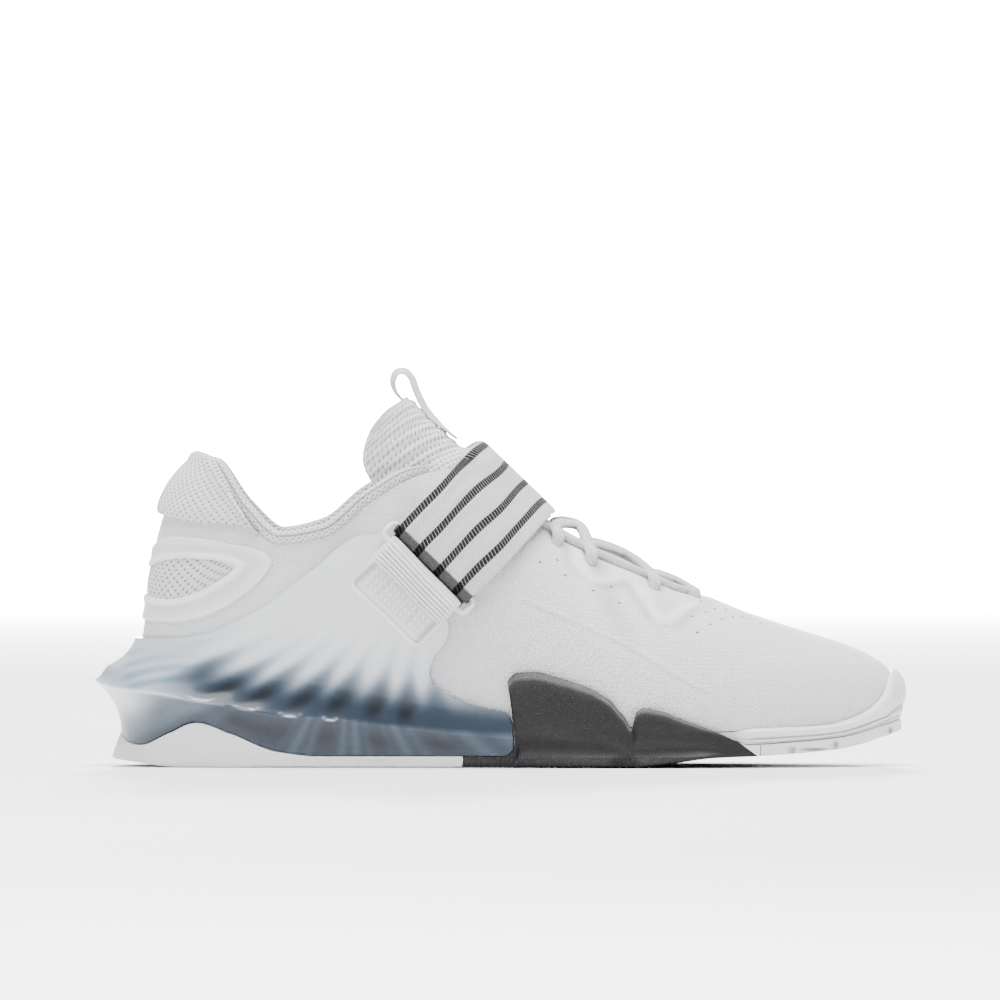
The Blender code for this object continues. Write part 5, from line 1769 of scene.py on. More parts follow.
    def above(self, px: Array, py: Array, over: Array, finger: Array, colours: Sequence[Array]) -> Array:
        """The colour above the ridge, without its hollows: milk, then pale blue, then slate low down.

        Args:
            px: Place along, in the photograph's pixels.
            py: Place down.
            over: Height over the ridge, in the same.
            finger: Shares of the fingers.
            colours: Milk, pale and slate.

        Returns:
            Colours, one for each point.
        """
        t = self.tints
        milk, pale, slate = colours
        start, front = smooth(*t.slate_from, px), smooth(*t.arm_front, px)
        reach = (t.slate_height + t.slate_in_finger * finger * (1 - front)) * (0.35 + 0.65 * start)
        deep = (1 - smooth(0.28, 1.0, over / reach)) * (0.20 + 0.80 * start)
        haze = 1 - smooth(8.0, t.haze_height + t.haze_in_finger * finger, over)
        haze = haze * (0.70 + 0.30 * finger * start)
        heel = (1 - smooth(14.0, 66.0, over)) * (1 - smooth(*t.heel_to, px)) * smooth(*t.spur, px)
        streak = 0.5 + 0.5 * np.sin((py + 0.18 * px) * 0.55 + 1.5 * np.sin(px * 0.05))
        share = np.clip(np.maximum(haze * 0.75, heel * (0.60 + 0.40 * streak)), 0, 1)
        return self.blend(self.blend(milk, pale, share * smooth(-2.0, 6.0, over)), slate, deep)

    def build(self) -> None:
        """The clip's wall, its flutes pressed between the hollows."""
        sizes = self.sizes
        grid, ridge_z, seam_z = self.grid()
        u, z = grid[..., 0], grid[..., 1]
        half = len(self.sole.side["low_u"])
        ridge = np.interp(u, self.sole.side["low_u"], self.sole.out_ridge[:half])
        seam = np.interp(u, self.sole.side["low_u"], self.sole.out_top[:half])
        above = np.clip((z - ridge_z) / sizes.sweep, 0, 1)
        below = np.clip((ridge_z - z) / np.maximum(ridge_z - seam_z, 0.001), 0, 1)
        face = sizes.seat + sizes.thickness
        out = np.where(z >= ridge_z - 1e-5, face + (ridge - face) * (1 - above) ** 2.6,
                       seam + (ridge - seam) * (1 - below) ** 2.2)
        side_point = LAST.skin(u, z)
        px, py = side_point[..., 0] / PIXEL + ORIGIN_PX, FLOOR_PX - z / PIXEL
        over = (z - ridge_z) / PIXEL
        reach = smooth(185, 215, px) * (1 - smooth(420, 440, px))
        out = out - sizes.flute * self.fingers(px, py) * swell(14, 11, over) * (over > 1) * reach
        full = both_sides(grid)
        stand = smooth(0.45, 0.70, full[..., 1] / LAST.collar_height) * (full[..., 0] > TOE)
        stand = stand * sizes.inner_stand
        outer = LAST.lay(full[..., 0], full[..., 1], mirrored(out) + stand)
        inner = LAST.lay(full[..., 0], full[..., 1], sizes.seat + stand)
        colours = mirrored(self.tint(LAST.lay(u, z, out), ridge_z, seam_z))
        clip = shell("heel_clip_shell", outer, inner, self.finishes.shell, tint=colours, sharp=70.0)
        self.keep(clip, "clip_shell", ["heel_clip"])


@dataclass
class SoleSizes:
    """Sizes of the outsoles and of the foxing round the toe."""

    heel_split: float = 0.084
    toe_split: float = 0.1935
    bumper: float = 0.0032
    bite_start: float = 0.785
    cut_gap: float = 0.0003
    crown: float = 0.0004
    groove: float = 0.0007
    groove_shade: float = 0.50
    low_groove: float = 0.7


class Sole(Dresser):
    """The three rubber outsoles and the white midsole with its foxing."""

    sizes: SoleSizes
    FIN_NOTCH_SHADE = ((623, 764, 15, 10), (633, 733, 2.2, 8))
    ARCH_RIM_HIGHLIGHT = ((623, 764, 18, 13),)
    LUG_NOTCH_SHADE = ((790, 749, 2.5, 4), (834, 744, 3, 4), (890, 731, 2, 4), (812, 748, 14, 1.4))

    def __init__(self, finishes: Finishes, sizes: SoleSizes) -> None:
        """Keeps the finishes and sizes.

        Args:
            finishes: The shoe's finishes.
            sizes: The sole's sizes.
        """
        super().__init__(finishes, sizes)
        self.columns = SoleColumns()

    def rings(self, profile: Sequence[Sequence[float]]) -> tuple[Array, Array]:
        """Rings of the whole outsole: under, out, up its side, over its edge and down inside to the plate.

        Args:
            profile: Rows of (share of the height, distance added to its stand-out).

        Returns:
            Rows by columns of points, and the share of the height of each row.
        """
        c = self.columns
        bevel = c.out_low - c.round_edge

        def ring(share: float, out: Array) -> Array:
            """One ring: between the lower and upper edge by share, standing out by the distance.

            Args:
                share: Share of the height.
                out: Distances off the side.

            Returns:
                Points.
            """
            u = c.low_u + (c.top_u - c.low_u) * share
            return LAST.lay(u, c.floor + (c.top - c.floor) * share, out + 0 * u)

        tall = smooth(0.006, 0.014, c.top - c.floor)
        rows = [ring(0.0, bevel)]
        rows[0][:, 2] = c.underside(rows[0][:, 0])
        rows.append(ring(0.0, c.out_low - 0.0004) + np.array([0.0, 0.0, 0.0005]))
        for share, extra in profile:
            stand = c.out_low + (c.out_top - c.out_low) * share + extra * tall
            rows.append(ring(share, stand))
        rows += [ring(1.0, c.out_top - 0.0007), ring(1.0, np.full(len(c.low_u), c.clearance))]
        plate = ring(0.0, np.full(len(c.low_u), c.clearance))
        plate[:, 2] = c.underside(plate[:, 0]) + c.plate
        rows += [rows[-1] * 0.5 + plate * 0.5, plate]
        shares = [0.0, 0.0] + [share for share, extra in profile] + [1.0, 1.0, 1.0, 1.0]
        return np.stack(rows), np.array(shares)[:, None]

    @staticmethod
    def painted_spots(grid: Array, spots: Sequence[Sequence[float]]) -> Array:
        """Soft oval spots at side-view places, for painted highlights and painted shade: 1 in the middle of
        each, 0 outside.

        Args:
            grid: Points.
            spots: Rows of (along, down, half width, half height) in the photograph's pixels.

        Returns:
            Shares from 0 to 1.
        """
        px, py = photo_place(grid)
        made = 0 * px
        for along, down, wide, high in spots:
            made = np.maximum(made, np.exp(-((px - along) / wide) ** 4 - ((py - down) / high) ** 4))
        return made

    @staticmethod
    def cut(piece: bpy.types.Object, low_x: float, high_x: float) -> bpy.types.Object:
        """Keeps what lies between two places along the shoe, and closes the cuts with flat faces.

        Args:
            piece: A closed piece.
            low_x: Where it starts.
            high_x: Where it ends.

        Returns:
            The piece.
        """
        shape = bmesh.new()
        shape.from_mesh(piece.data)
        for place, outward in ((low_x, -1.0), (high_x, 1.0)):
            every = shape.verts[:] + shape.edges[:] + shape.faces[:]
            made = bmesh.ops.bisect_plane(shape, geom=every, plane_co=(place, 0, 0), dist=1e-7,
                                          plane_no=(outward, 0, 0), clear_outer=True)
            rim = [item for item in made["geom_cut"] if isinstance(item, bmesh.types.BMEdge)]
            bmesh.ops.holes_fill(shape, edges=rim, sides=0)
        bmesh.ops.recalc_face_normals(shape, faces=shape.faces)
        shape.to_mesh(piece.data)
        shape.free()
        piece.data.shade_smooth()
        piece.data.set_sharp_from_angle(angle=math.radians(50))
        return piece

    def build(self) -> None:
        """Builds the outsoles and the midsole."""
        sizes = self.sizes
        even = [(share, 0.0) for share in np.linspace(0.12, 0.97, 20)]
        whole, _ = self.rings(even)
        heel = self.cut(tray("heel_rubber_cup", whole, self.finishes.heel_rubber), -0.2, sizes.heel_split)
        self.keep(heel, "white_rubber", ["outsole_heel"])
        rows = np.linspace(0.03, 0.985, 26)
        waist = -0.0008 * swell(0.30, 0.10, rows) + 0.0009 * swell(0.10, 0.06, rows)
        waist = waist + 0.0006 * swell(0.93, 0.05, rows)
        grid, share = self.rings(list(zip(rows, waist)))
        tall = smooth(0.006, 0.014, self.columns.top - self.columns.floor)
        # Painted highlights along the fins' top rim and on the bulge low on their side; lighter along the
        # bottom lip.
        shade = 1 + (9.0 * swell(0.955, 0.030, share) + 1.2 * swell(0.12, 0.04, share)) * tall
        shade = shade + 1.6 * swell(0.0026, 0.0013, grid[..., 2])
        # Painted highlight on the rim round the arch notch.
        shade = shade + 2.2 * (self.painted_spots(grid, self.ARCH_RIM_HIGHLIGHT) - self.painted_spots(grid, self.FIN_NOTCH_SHADE[:1]))
        # Painted shade in the arch notch and the slit.
        shade = shade * (1 - 0.75 * self.painted_spots(grid, self.FIN_NOTCH_SHADE))
        fins = self.cut(tray("forefoot_fins", grid, self.finishes.dark, grey(shade)),
                        sizes.heel_split + sizes.cut_gap, sizes.toe_split)
        self.keep(fins, "dark_rubber", ["outsole_forefoot"])
        # Painted shade in the lug notches and along a thin groove line.
        shade = 1 - 0.75 * self.painted_spots(whole, self.LUG_NOTCH_SHADE)
        toe = self.cut(tray("toe_rubber", whole, self.finishes.toe_rubber, grey(shade)),
                       sizes.toe_split + sizes.cut_gap, 0.3)
        self.keep(toe, "white_rubber", ["outsole_toe"])
        self.midsole()

    def midsole(self) -> None:
        """The footbed, and round the toe the foxing: two soft grooves low down, with painted shade in them,
        and a rounded top edge.
        """
        c, sizes = self.columns, self.sizes
        lip = smooth(sizes.bite_start, sizes.bite_start + 0.03, c.along)
        bed = c.base[:, 2] - c.clearance
        bite = np.maximum(table_curve(BITE_LINE, c.along) * LAST.collar_height, bed) * lip + bed * (1 - lip)
        out = -0.0002 + (sizes.bumper + 0.0002) * lip
        bottom = c.underside(c.base[:, 0]) + c.plate + c.clearance
        rubber = np.minimum(np.maximum(bottom, c.top + c.clearance), bed - 0.0004)
        shelf = np.where(c.along > sizes.bite_start - 0.03, rubber, bottom + 0.0005)
        rings = [LAST.lay(c.low_u, bottom, 0 * out - 0.0002), LAST.lay(c.low_u, shelf, 0 * out - 0.0002),
                 LAST.lay(c.low_u, shelf + 0.0001, out - 0.0004 * lip)]
        shares = np.linspace(0.05, 0.95, 22)
        grooves = swell(0.34, 0.07, shares) + sizes.low_groove * swell(0.10, 0.05, shares)
        for share, groove in zip(shares, grooves):
            crown = sizes.crown * (math.sin(share * math.pi) - 2 * max(share - 0.8, 0) / 0.15)
            bulge = lip * (crown - sizes.groove * groove)
            rings.append(LAST.lay(c.low_u, shelf + (bite - shelf) * share, out + bulge))
        rings.append(LAST.lay(c.low_u, bite, out - 0.0014 * lip - 0.0001))
        inside = np.where(lip > 0, 0.0002, -0.0004)
        for share in (1.0, 0.8, 0.6, 0.4, 0.2):
            rings.append(LAST.lay(c.low_u, bed + (bite - bed) * share, inside))
        rings.append(LAST.lay(c.low_u, bed, inside - 0.0001))
        grooved = np.concatenate([np.zeros(3), grooves, np.zeros(7)])
        # Painted shade in the foxing's grooves.
        shade = 1 - sizes.groove_shade * grooved[:, None] * lip[None]
        foxing = tray("midsole_foxing", np.stack(rings), self.finishes.foam, grey(shade))
        self.keep(foxing, "foam", ["midsole"])


@dataclass
class HeelSizes:
    """Sizes of what is laid over the heel and along the collar."""

    seat: float = 0.0005
    frame: float = 0.0012
    frame_ridge: float = 0.0007
    pad: float = 0.0034
    pad_lip: float = 0.0042
    roll_width: float = 0.0052
    roll_height: float = 0.0048
    wall: float = 0.0022
    collar_front: float = 6.0


class HeelCollar(Dresser):
    """The counter frame and its mesh windows, the padded heel fin, and the knit roll of the collar."""

    sizes: HeelSizes
    def build(self) -> None:
        """Builds each piece of the heel."""
        self.frame()
        self.windows()
        self.pad()
        self.roll()

    def frame(self) -> None:
        """The moulded frame: a band round both windows, with a sharp inner ridge and a dished outer half."""
        count = 150
        outer = LAST.side_line(EYE_OUTER, count, 0.715, 0.484)
        inner = LAST.side_line(EYE_INNER, count, 0.655, 0.570)
        share = np.linspace(0, 1, 33)[:, None, None]
        band = inner[None] * (1 - share) + outer[None] * share
        other = band[:, -2:0:-1].copy()
        other[..., 0] = ROUND - other[..., 0]
        band = np.concatenate([band, other], axis=1)
        t = np.linspace(0, 1, 33)[:, None]
        profile = 0.62 + 0.38 * swell(0.20, 0.12, t) - 0.26 * swell(0.52, 0.20, t)
        profile = profile * smooth(-0.03, 0.07, t) * (1 - 0.9 * smooth(0.93, 1.01, t))
        stand = (self.sizes.frame + self.sizes.frame_ridge) * 0.50
        out = self.sizes.seat + stand * profile + 0 * band[..., 0]
        # Painted shade of the frame's relief, darker in its dish and lighter on its ridge.
        tint = painted_relief_shade(out, 0.50, 0.00016, 3)
        frame_piece = shell("counter_frame_skin", LAST.lay(band[..., 0], band[..., 1], out),
                            LAST.lay(band[..., 0], band[..., 1], 0.0002 + 0 * out), self.finishes.film, True,
                            tint=tint, sharp=30.0)
        self.keep(frame_piece, "moulded_film", ["counter_frame"])

    def windows(self) -> None:
        """The mesh seen in the windows: a thin crowned sheet inside the frame's inner edge."""
        count = 60
        line = LAST.side_line(EYE_INNER, 2 * count - 1, 0.655, 0.570)
        high, low = line[:count], line[count - 1:][::-1]
        t = np.linspace(0, 1, 25)[:, None, None]
        grid = low[None] * (1 - t) + high[None] * t
        crown = np.sin(np.linspace(0, 1, 25) * math.pi)[:, None] ** 0.7 * np.ones((1, count))
        out = 0.0004 + 0.0004 * crown
        full = both_sides(grid)
        outer = LAST.lay(full[..., 0], full[..., 1], mirrored(out))
        inner = LAST.lay(full[..., 0], full[..., 1], 0.0001 + 0 * mirrored(out))
        self.keep(shell("window_mesh_sheet", outer, inner, self.finishes.window), "padded_mesh")

    def pad(self) -> None:
        """The padded fin: a crowned sheet that overhangs at its lower edge and stands up behind the roll."""
        sizes = self.sizes
        count, rows = 90, 30
        low = LAST.side_line(PAD_LOW, count, 0.829)
        high = np.stack([low[:, 0], LAST.head(low[:, 0])[:, 2] - 0.0012], axis=1)
        t = np.linspace(0, 1, rows)[:, None, None]
        grid = low[None] * (1 - t) + high[None] * t
        rise = np.linspace(0, 1, rows)[:, None]
        across = (1 - (1 - np.clip(rise / 0.22, 0, 1)) ** 2) ** 0.5 * (0.80 + 0.20 * np.sin(rise * math.pi))
        along = (1 - np.linspace(0, 1, count) ** 2.5)[None]
        out = sizes.seat + 0.0008 + (sizes.pad - 0.0008) * along * (0.35 + 0.65 * across)
        full, outs = both_sides(grid), mirrored(out)
        outer = LAST.lay(full[..., 0], full[..., 1], outs)
        inner = LAST.lay(full[..., 0], full[..., 1], 0.0002 + 0 * outs)
        edge, up, outward = LAST.edge_frame(full[-1, :, 0])
        lip = np.concatenate([along[0, :0:-1], along[0]])[:, None]
        stand = sizes.roll_width / 2
        bends = np.radians((18, 36, 54, 70, 82, 90))
        caps = [edge + up * (sizes.pad_lip * lip * math.sin(bend) - 0.0004)
                + outward * (stand + 0.0003 + 0.0018 * math.cos(bend) * lip) for bend in bends]
        outer = np.concatenate([outer, np.stack(caps)])
        behind = [edge + up * (sizes.pad_lip * lip * math.sin(bend) - 0.0008) + outward * (stand - 0.0008)
                  for bend in bends]
        inner = np.concatenate([inner, np.stack(behind)])
        pad = shell("heel_pad_mesh", outer, inner, self.finishes.mesh)
        self.keep(pad, "padded_mesh", ["heel_pad"])

    def roll(self) -> None:
        """The knit roll: an oval tube that follows the collar's edge from one instep round the heel."""
        sizes = self.sizes
        u = np.linspace(-sizes.collar_front - 0.35, sizes.collar_front + 0.35, 240)
        edge, rise, out = LAST.edge_frame(np.mod(u, ROUND))
        square = unit(np.cross(out, np.gradient(edge, axis=0)))
        square *= np.sign((square * rise).sum(1, keepdims=True))
        path = edge + square * (0.0001 + sizes.roll_height / 2) - out * sizes.wall * 0.6
        taper = 1 - 0.45 * smooth(sizes.collar_front - 0.3, sizes.collar_front + 0.35, np.abs(u))
        soft = 1 + 0.02 * np.sin(u * 9.0)
        points, faces, uv = tube_arrays(path, out, (sizes.roll_width + 0.0004) * taper * soft,
                                        (sizes.roll_height + 0.0004) * taper, 20)
        roll = make_piece("collar_roll_knit", points, faces, self.finishes.roll, uv)
        self.keep(roll, "knit", ["collar_roll"])


@dataclass
class TongueSizes:
    """Sizes of the tongue and its pull loop."""

    thickness: float = 0.0050
    edge: float = 0.0026
    wall: float = 0.0022
    loop_width: float = 0.0085
    loop_thickness: float = 0.0011
    loop_turn: float = math.radians(15.0)
    quilt: float = 0.00025
    quilt_turn: float = 9.0


class Tongue(Dresser):
    """The padded tongue under the throat and round the ankle, with its pull loop."""

    sizes: TongueSizes
    TUCK = ((11.4, 0.93, 0.0006), (11.0, 0.90, 0.0014), (10.5, 0.88, 0.0026), (10.0, 0.87, 0.0038),
            (9.5, 0.87, 0.0048), (9.0, 0.87, 0.0056), (8.5, 0.87, 0.0062), (8.0, 0.87, 0.0066))
    TOP = ((0.455, 0.990, 0.385, 0.890, 0.232), (0.420, 1.045, 0.325, 0.915, 0.238),
           (0.400, 1.090, 0.305, 0.965, 0.244), (0.380, 1.135, 0.300, 1.030, 0.240),
           (0.362, 1.185, 0.310, 1.110, 0.205), (0.350, 1.206, 0.325, 1.160, 0.155))
    LOOP = ((0.4240, 1.0790), (0.4028, 1.1225), (0.3838, 1.1725), (0.3695, 1.2415), (0.363, 1.283),
            (0.354, 1.303), (0.345, 1.300), (0.339, 1.270), (0.342, 1.238), (0.350, 1.212), (0.357, 1.196))

    def lines(self, count: int) -> tuple[Array, Array]:
        """Lines across the tongue, throat to top, and half its thickness in each.

        Args:
            count: Points across.

        Returns:
            Lines by points, and one half thickness a line.
        """
        sizes = self.sizes
        at = np.array([row[0] for row in self.TUCK])
        up = np.array([row[1] for row in self.TUCK])
        crown = np.array([row[2] for row in self.TUCK])[:, None]
        depth = sizes.wall + 0.0008 + sizes.edge / 2
        corners = []
        edges = []
        for u in (at, ROUND - at):
            edge, _, out = LAST.edge_frame(u)
            tucked = LAST.rib(u, up)
            corners.append(tucked - LAST.normals(u, tucked[:, 2]) * depth)
            edges.append((edge - out * depth, out))
        middle = (edges[0][0] + edges[1][0]) / 2 + (edges[0][1] + edges[1][1]) / 2 * crown
        tuck = np.stack([corners[0], edges[0][0], middle, edges[1][0], corners[1]], axis=1)
        top = np.array(self.TOP)
        turn = np.radians([80.0, 42.0, 0.0, 42.0, 80.0])
        side = np.array([-1.0, -1.0, 0.0, 1.0, 1.0])
        scale = np.array([LAST.length, LAST.collar_height])
        mid = top[:, :2] * scale + np.array([LAST.heel_back, 0.0])
        rim = top[:, 2:4] * scale + np.array([LAST.heel_back, 0.0])
        back = (1 - np.cos(turn)) / (1 - math.cos(turn[0]))
        flat = mid[:, None] + (rim - mid)[:, None] * back[None, :, None]
        y = side * top[:, 4:] * LAST.ball_width * np.sin(turn) / math.sin(turn[0])
        above = np.stack([flat[..., 0], y, flat[..., 1]], axis=-1)
        rows = np.concatenate([tuck, above])
        lines = np.stack([outline(row, count) for row in rows])
        half = np.concatenate([np.full(len(tuck), sizes.edge / 2), np.full(len(above), sizes.thickness / 2)])
        return lines, half

    def build(self) -> None:
        """The tongue's crowned sheet with soft rows across its top, and the loop."""
        count = 81
        lines, half = self.lines(count)
        rows = 150
        at = np.linspace(0, len(lines) - 1, rows)
        grid = hermite(lines, np.gradient(lines, axis=0), at)
        thick = np.interp(at, np.arange(len(half)), half)
        lean = np.linspace(-1, 1, count)
        section = np.sqrt(np.clip(1 - np.abs(lean) ** 6, 0.02, 1))
        section = section * (0.62 + 0.38 * np.cos(lean * math.pi / 2))
        end = np.sqrt(np.clip(1 - np.linspace(0, 1, rows) ** 40, 0.06, 1))
        normal = surface_normals(grid) * (thick[:, None] * section[None] * end[:, None])[..., None]
        if normal[40, count // 2, 2] < 0:
            normal = -normal
        quilt = self.sizes.quilt * np.sin(at * self.sizes.quilt_turn) * smooth(7.5, 9.0, at)
        tongue = shell("tongue_mesh", grid + normal + unit(normal) * quilt[:, None, None], grid - normal,
                       self.finishes.mesh)
        self.keep(tongue, "padded_mesh", ["tongue"])
        self.loop()

    def loop(self) -> None:
        """The pull loop: a flat band carried along its side-view line."""
        sizes = self.sizes
        rows = np.array(self.LOOP)
        line = outline(np.stack([rows[:, 0] * LAST.length + LAST.heel_back, 0 * rows[:, 0],
                                 rows[:, 1] * LAST.collar_height], axis=1), 120)
        ahead = unit(np.gradient(line, axis=0))
        level = np.array([0.0, 1.0, 0.0])
        share = np.linspace(0, 1, 120)
        turn = sizes.loop_turn * (smooth(0.02, 0.30, share) * (1 - smooth(0.72, 0.98, share)))[:, None]
        side = level * np.cos(turn) + np.cross(level, ahead) * np.sin(turn)
        out = np.cross(side, ahead)
        across = np.linspace(-1, 1, 13)[:, None, None]
        lift = np.sqrt(np.clip(1 - np.abs(across) ** 8, 0.1, 1)) * sizes.loop_thickness / 2
        grid = line[None] + across * side * sizes.loop_width / 2
        loop = shell("pull_loop_tape", grid + out[None] * lift, grid - out[None] * lift, self.finishes.tape)
        self.keep(loop, "webbing", ["pull_loop"])


@dataclass
class StrapSizes:
    """Sizes of the strap, its ring and its anchor patch."""

    width: float = 0.0380
    thickness: float = 0.0018
    crest_x: float = 0.1055
    crest_z: float = 0.1075
    slope: float = math.radians(44.0)
    drop: float = 0.0445
    bar: float = 0.0010
    reach: float = 0.0062
    patch_length: float = 0.0210
    patch_thickness: float = 0.0014
    patch_narrower: float = 0.0030
    patch_corner: float = 0.0030
    rib_pitch: float = 0.00145
    rib_depth: float = 0.0003
    rim_depth: float = 0.0004
    dash_pitch: float = 0.0021
    row_pitch: float = 0.0026
    row_half: float = 0.00055
    gap_shadow_lift: float = 0.0022
    gap_shadow_thickness: float = 0.0006
    seat: float = 0.0009
    clip: float = 0.0015
    clearance: float = 0.0003
    inner_stand: float = 0.0006


class Strap(Dresser):
    """The instep strap, doubled through its ring, and the patch that anchors the ring to the clip."""

    sizes: StrapSizes
    STEPS = 20

    def __init__(self, finishes: Finishes, sizes: StrapSizes) -> None:
        """Works out how far each layer's middle lies off the side.

        Args:
            finishes: The shoe's finishes.
            sizes: The strap's sizes.
        """
        super().__init__(finishes, sizes)
        s = sizes
        self.clip_face = s.clip + s.seat + s.clearance
        self.inner_layer = s.seat + s.thickness / 2
        self.outer_layer = self.inner_layer + s.thickness + 2 * s.clearance
        self.strap_bar = self.inner_layer + s.thickness / 2 + s.clearance + s.bar
        self.patch_bar = self.clip_face + s.patch_thickness + s.clearance + s.bar
        self.ring_layer = self.strap_bar + s.bar + s.clearance + s.thickness / 2
        self.across = np.array([math.cos(s.slope), 0.0, -math.sin(s.slope)])
        self.rise = np.array([math.sin(s.slope), 0.0, math.cos(s.slope)])
        self.crest = np.array([s.crest_x, 0.0, s.crest_z])

    def side(self, down: Array, forward: Array, out: Array, where: Side = Side.OUTER) -> Array:
        """Points on the shoe's side under the strap's line.

        Args:
            down: Distance down the strap's line from the crest.
            forward: Distance forward of its middle.
            out: Distance off the side.
            where: Which side of the shoe.

        Returns:
            Points.
        """
        down, forward = np.broadcast_arrays(down, forward)
        spot = self.crest + self.across * forward[..., None] - self.rise * down[..., None]
        u = LAST.place_u((spot[..., 0] - LAST.heel_back) / LAST.length, spot[..., 2] / LAST.collar_height)
        if where is Side.INNER:
            u = ROUND - u
        return LAST.lay(u, spot[..., 2], out)

    def layer(self, forward: float, end_out: float, out: float, depth: float) -> Array:
        """One layer over the instep, from the ring to the inner side, at one place in its width.

        Args:
            forward: Distance forward of the strap's middle.
            end_out: Distance off the side at the ring.
            out: Distance off it elsewhere.
            depth: Distance under the strap's top face at the crest.

        Returns:
            Points.
        """
        s = self.sizes
        top = self.crest + self.across * forward - self.rise * depth
        downs = s.drop * np.array([1.0, 0.8, 0.6, 0.42])
        flat = 0 * downs + forward
        here = self.side(downs, flat, end_out + (out - end_out) * np.array([0.0, 0.45, 0.85, 1.0]))
        there = self.side(downs[::-1], flat, out + s.inner_stand + 0 * downs, Side.INNER)
        edge_u = np.linspace(6.8, 9.8, 61)
        forwards = (LAST.head(edge_u) - self.crest) @ self.across
        at = float(np.interp(forward, forwards, edge_u))
        edge, _, outward = LAST.edge_frame(np.array([at, ROUND - at]))
        shoulders = edge + outward * (out + s.seat)
        return np.concatenate([here, shoulders[:1], [top], shoulders[1:], there])

    def fold(self, forward: float, down: float, radius: float, centre: float, towards: float) -> Array:
        """Points of a half turn round a bar, from the layer under it to the layer over it.

        Args:
            forward: Distance forward of the strap's middle.
            down: Distance of the bar down the strap's line.
            radius: Radius of the turn.
            centre: Distance of the bar off the side.
            towards: 1 where it bulges down the line, -1 where up.

        Returns:
            Points.
        """
        angle = np.radians(np.array([-64.0, -32.0, 0.0, 32.0, 64.0]))
        downs = down + towards * radius * np.cos(angle)
        return self.side(downs, forward + 0 * downs, centre + radius * np.sin(angle))

    def spread(self, lines: Array) -> Array:
        """A band's middle surface as an even grid.

        Args:
            lines: Lines by points, one line for each place in the band's width.

        Returns:
            Places across by steps along.
        """
        grid = np.stack([through(line, self.STEPS) for line in lines])
        return hermite(grid, np.gradient(grid, axis=0), np.linspace(0, len(lines) - 1, 37))

    def band(self, name: str, lines: Array, thickness: float, material: bpy.types.Material, width: float,
             relief: Optional[Array] = None, tint: Optional[Array] = None) -> bpy.types.Object:
        """A woven band through lines of points, with rounded edges and its pattern laid out in metres.

        Args:
            name: The piece's name.
            lines: Lines by points, one line for each place in its width.
            thickness: Its thickness.
            material: Its finish.
            width: Its width.
            relief: Height added on its face, places across by share along.
            tint: Its tints, laid out alike.

        Returns:
            The piece.
        """
        grid = self.spread(lines)
        place = np.linspace(-1, 1, 37)
        half = thickness / 2 * np.sqrt(np.clip(1 - np.abs(place) ** 14, 0.12, 1))[:, None, None]
        normal = surface_normals(grid)
        lift = 0.0 if relief is None else relief[..., None]
        along = run_lengths(grid[len(grid) // 2])
        uv = np.stack(np.broadcast_arrays(along[None, :], place[:, None] * width / 2), axis=-1)
        return shell(name, grid + normal * (half + lift), grid - normal * half, material, uv=uv, tint=tint,
                     sharp=60.0)

    def build(self) -> None:
        """The strap, its ring and its anchor patch."""
        s = self.sizes
        radius = s.bar + s.clearance + s.thickness / 2
        lines = []
        for forward in np.linspace(-0.5, 0.5, 7) * s.width:
            under = self.layer(forward, self.inner_layer, self.inner_layer,
                               s.thickness * 1.5 + 2 * s.clearance)[::-1]
            root = self.side(np.array([s.drop * 1.08]), np.array([forward]),
                             np.array([self.inner_layer + s.inner_stand]), Side.INNER)
            over = self.layer(forward, self.ring_layer, self.outer_layer, s.thickness / 2)
            turn = self.fold(forward, s.drop + 0.0005, radius, self.strap_bar, 1.0)
            lines.append(np.concatenate([root, under, turn, over]))
        grid = self.spread(np.stack(lines))
        # Painted shadow at the strap's lower end, where it turns round the ring, on its outer side only.
        shade = 1 - 0.88 * smooth(s.drop - 0.0010, s.drop - 0.0002, (self.crest - grid) @ self.rise)
        shade[grid[..., 1] > 0] = 1.0
        strap = self.band("strap_webbing", np.stack(lines), s.thickness, self.finishes.webbing, s.width,
                          tint=grey(shade))
        self.keep(strap, "webbing", ["strap"])
        self.ring()
        self.patch()

    def ring(self) -> None:
        """The ring: a round wire bent to a rounded rectangle, its bars at two heights off the side."""
        s = self.sizes
        half = s.width / 2 + s.bar + 0.0008
        top = s.drop + 0.0005
        bend = 0.0018
        centres = np.array([(top + s.reach - bend, half - bend), (top + s.reach - bend, bend - half),
                            (top + bend, bend - half), (top + bend, half - bend)])
        starts = np.radians([0.0, 90.0, 180.0, 270.0])
        turn = np.radians(np.linspace(0, 90, 9))
        angle = starts[:, None] + turn[None]
        corners = np.stack([centres[:, :1] + bend * np.sin(angle), centres[:, 1:] + bend * np.cos(angle)], -1)
        loop = corners.reshape(-1, 2)
        loop = np.concatenate([loop, loop[:1]])
        at = run_lengths(loop)
        even = np.linspace(0, at[-1], 160, endpoint=False)
        down = np.interp(even, at, loop[:, 0])
        forward = np.interp(even, at, loop[:, 1])
        lift = self.strap_bar + (self.patch_bar - self.strap_bar) * (down - top) / s.reach
        path = self.side(down, forward, lift)
        across = np.broadcast_to(np.array([0.0, -1.0, 0.0]), path.shape)
        points, faces, uv = tube_arrays(path, across, 2 * s.bar, 2 * s.bar, 16, True)
        ring = make_piece("strap_ring_wire", points, faces, self.finishes.foam, uv)
        self.keep(ring, "foam", ["strap_ring"])

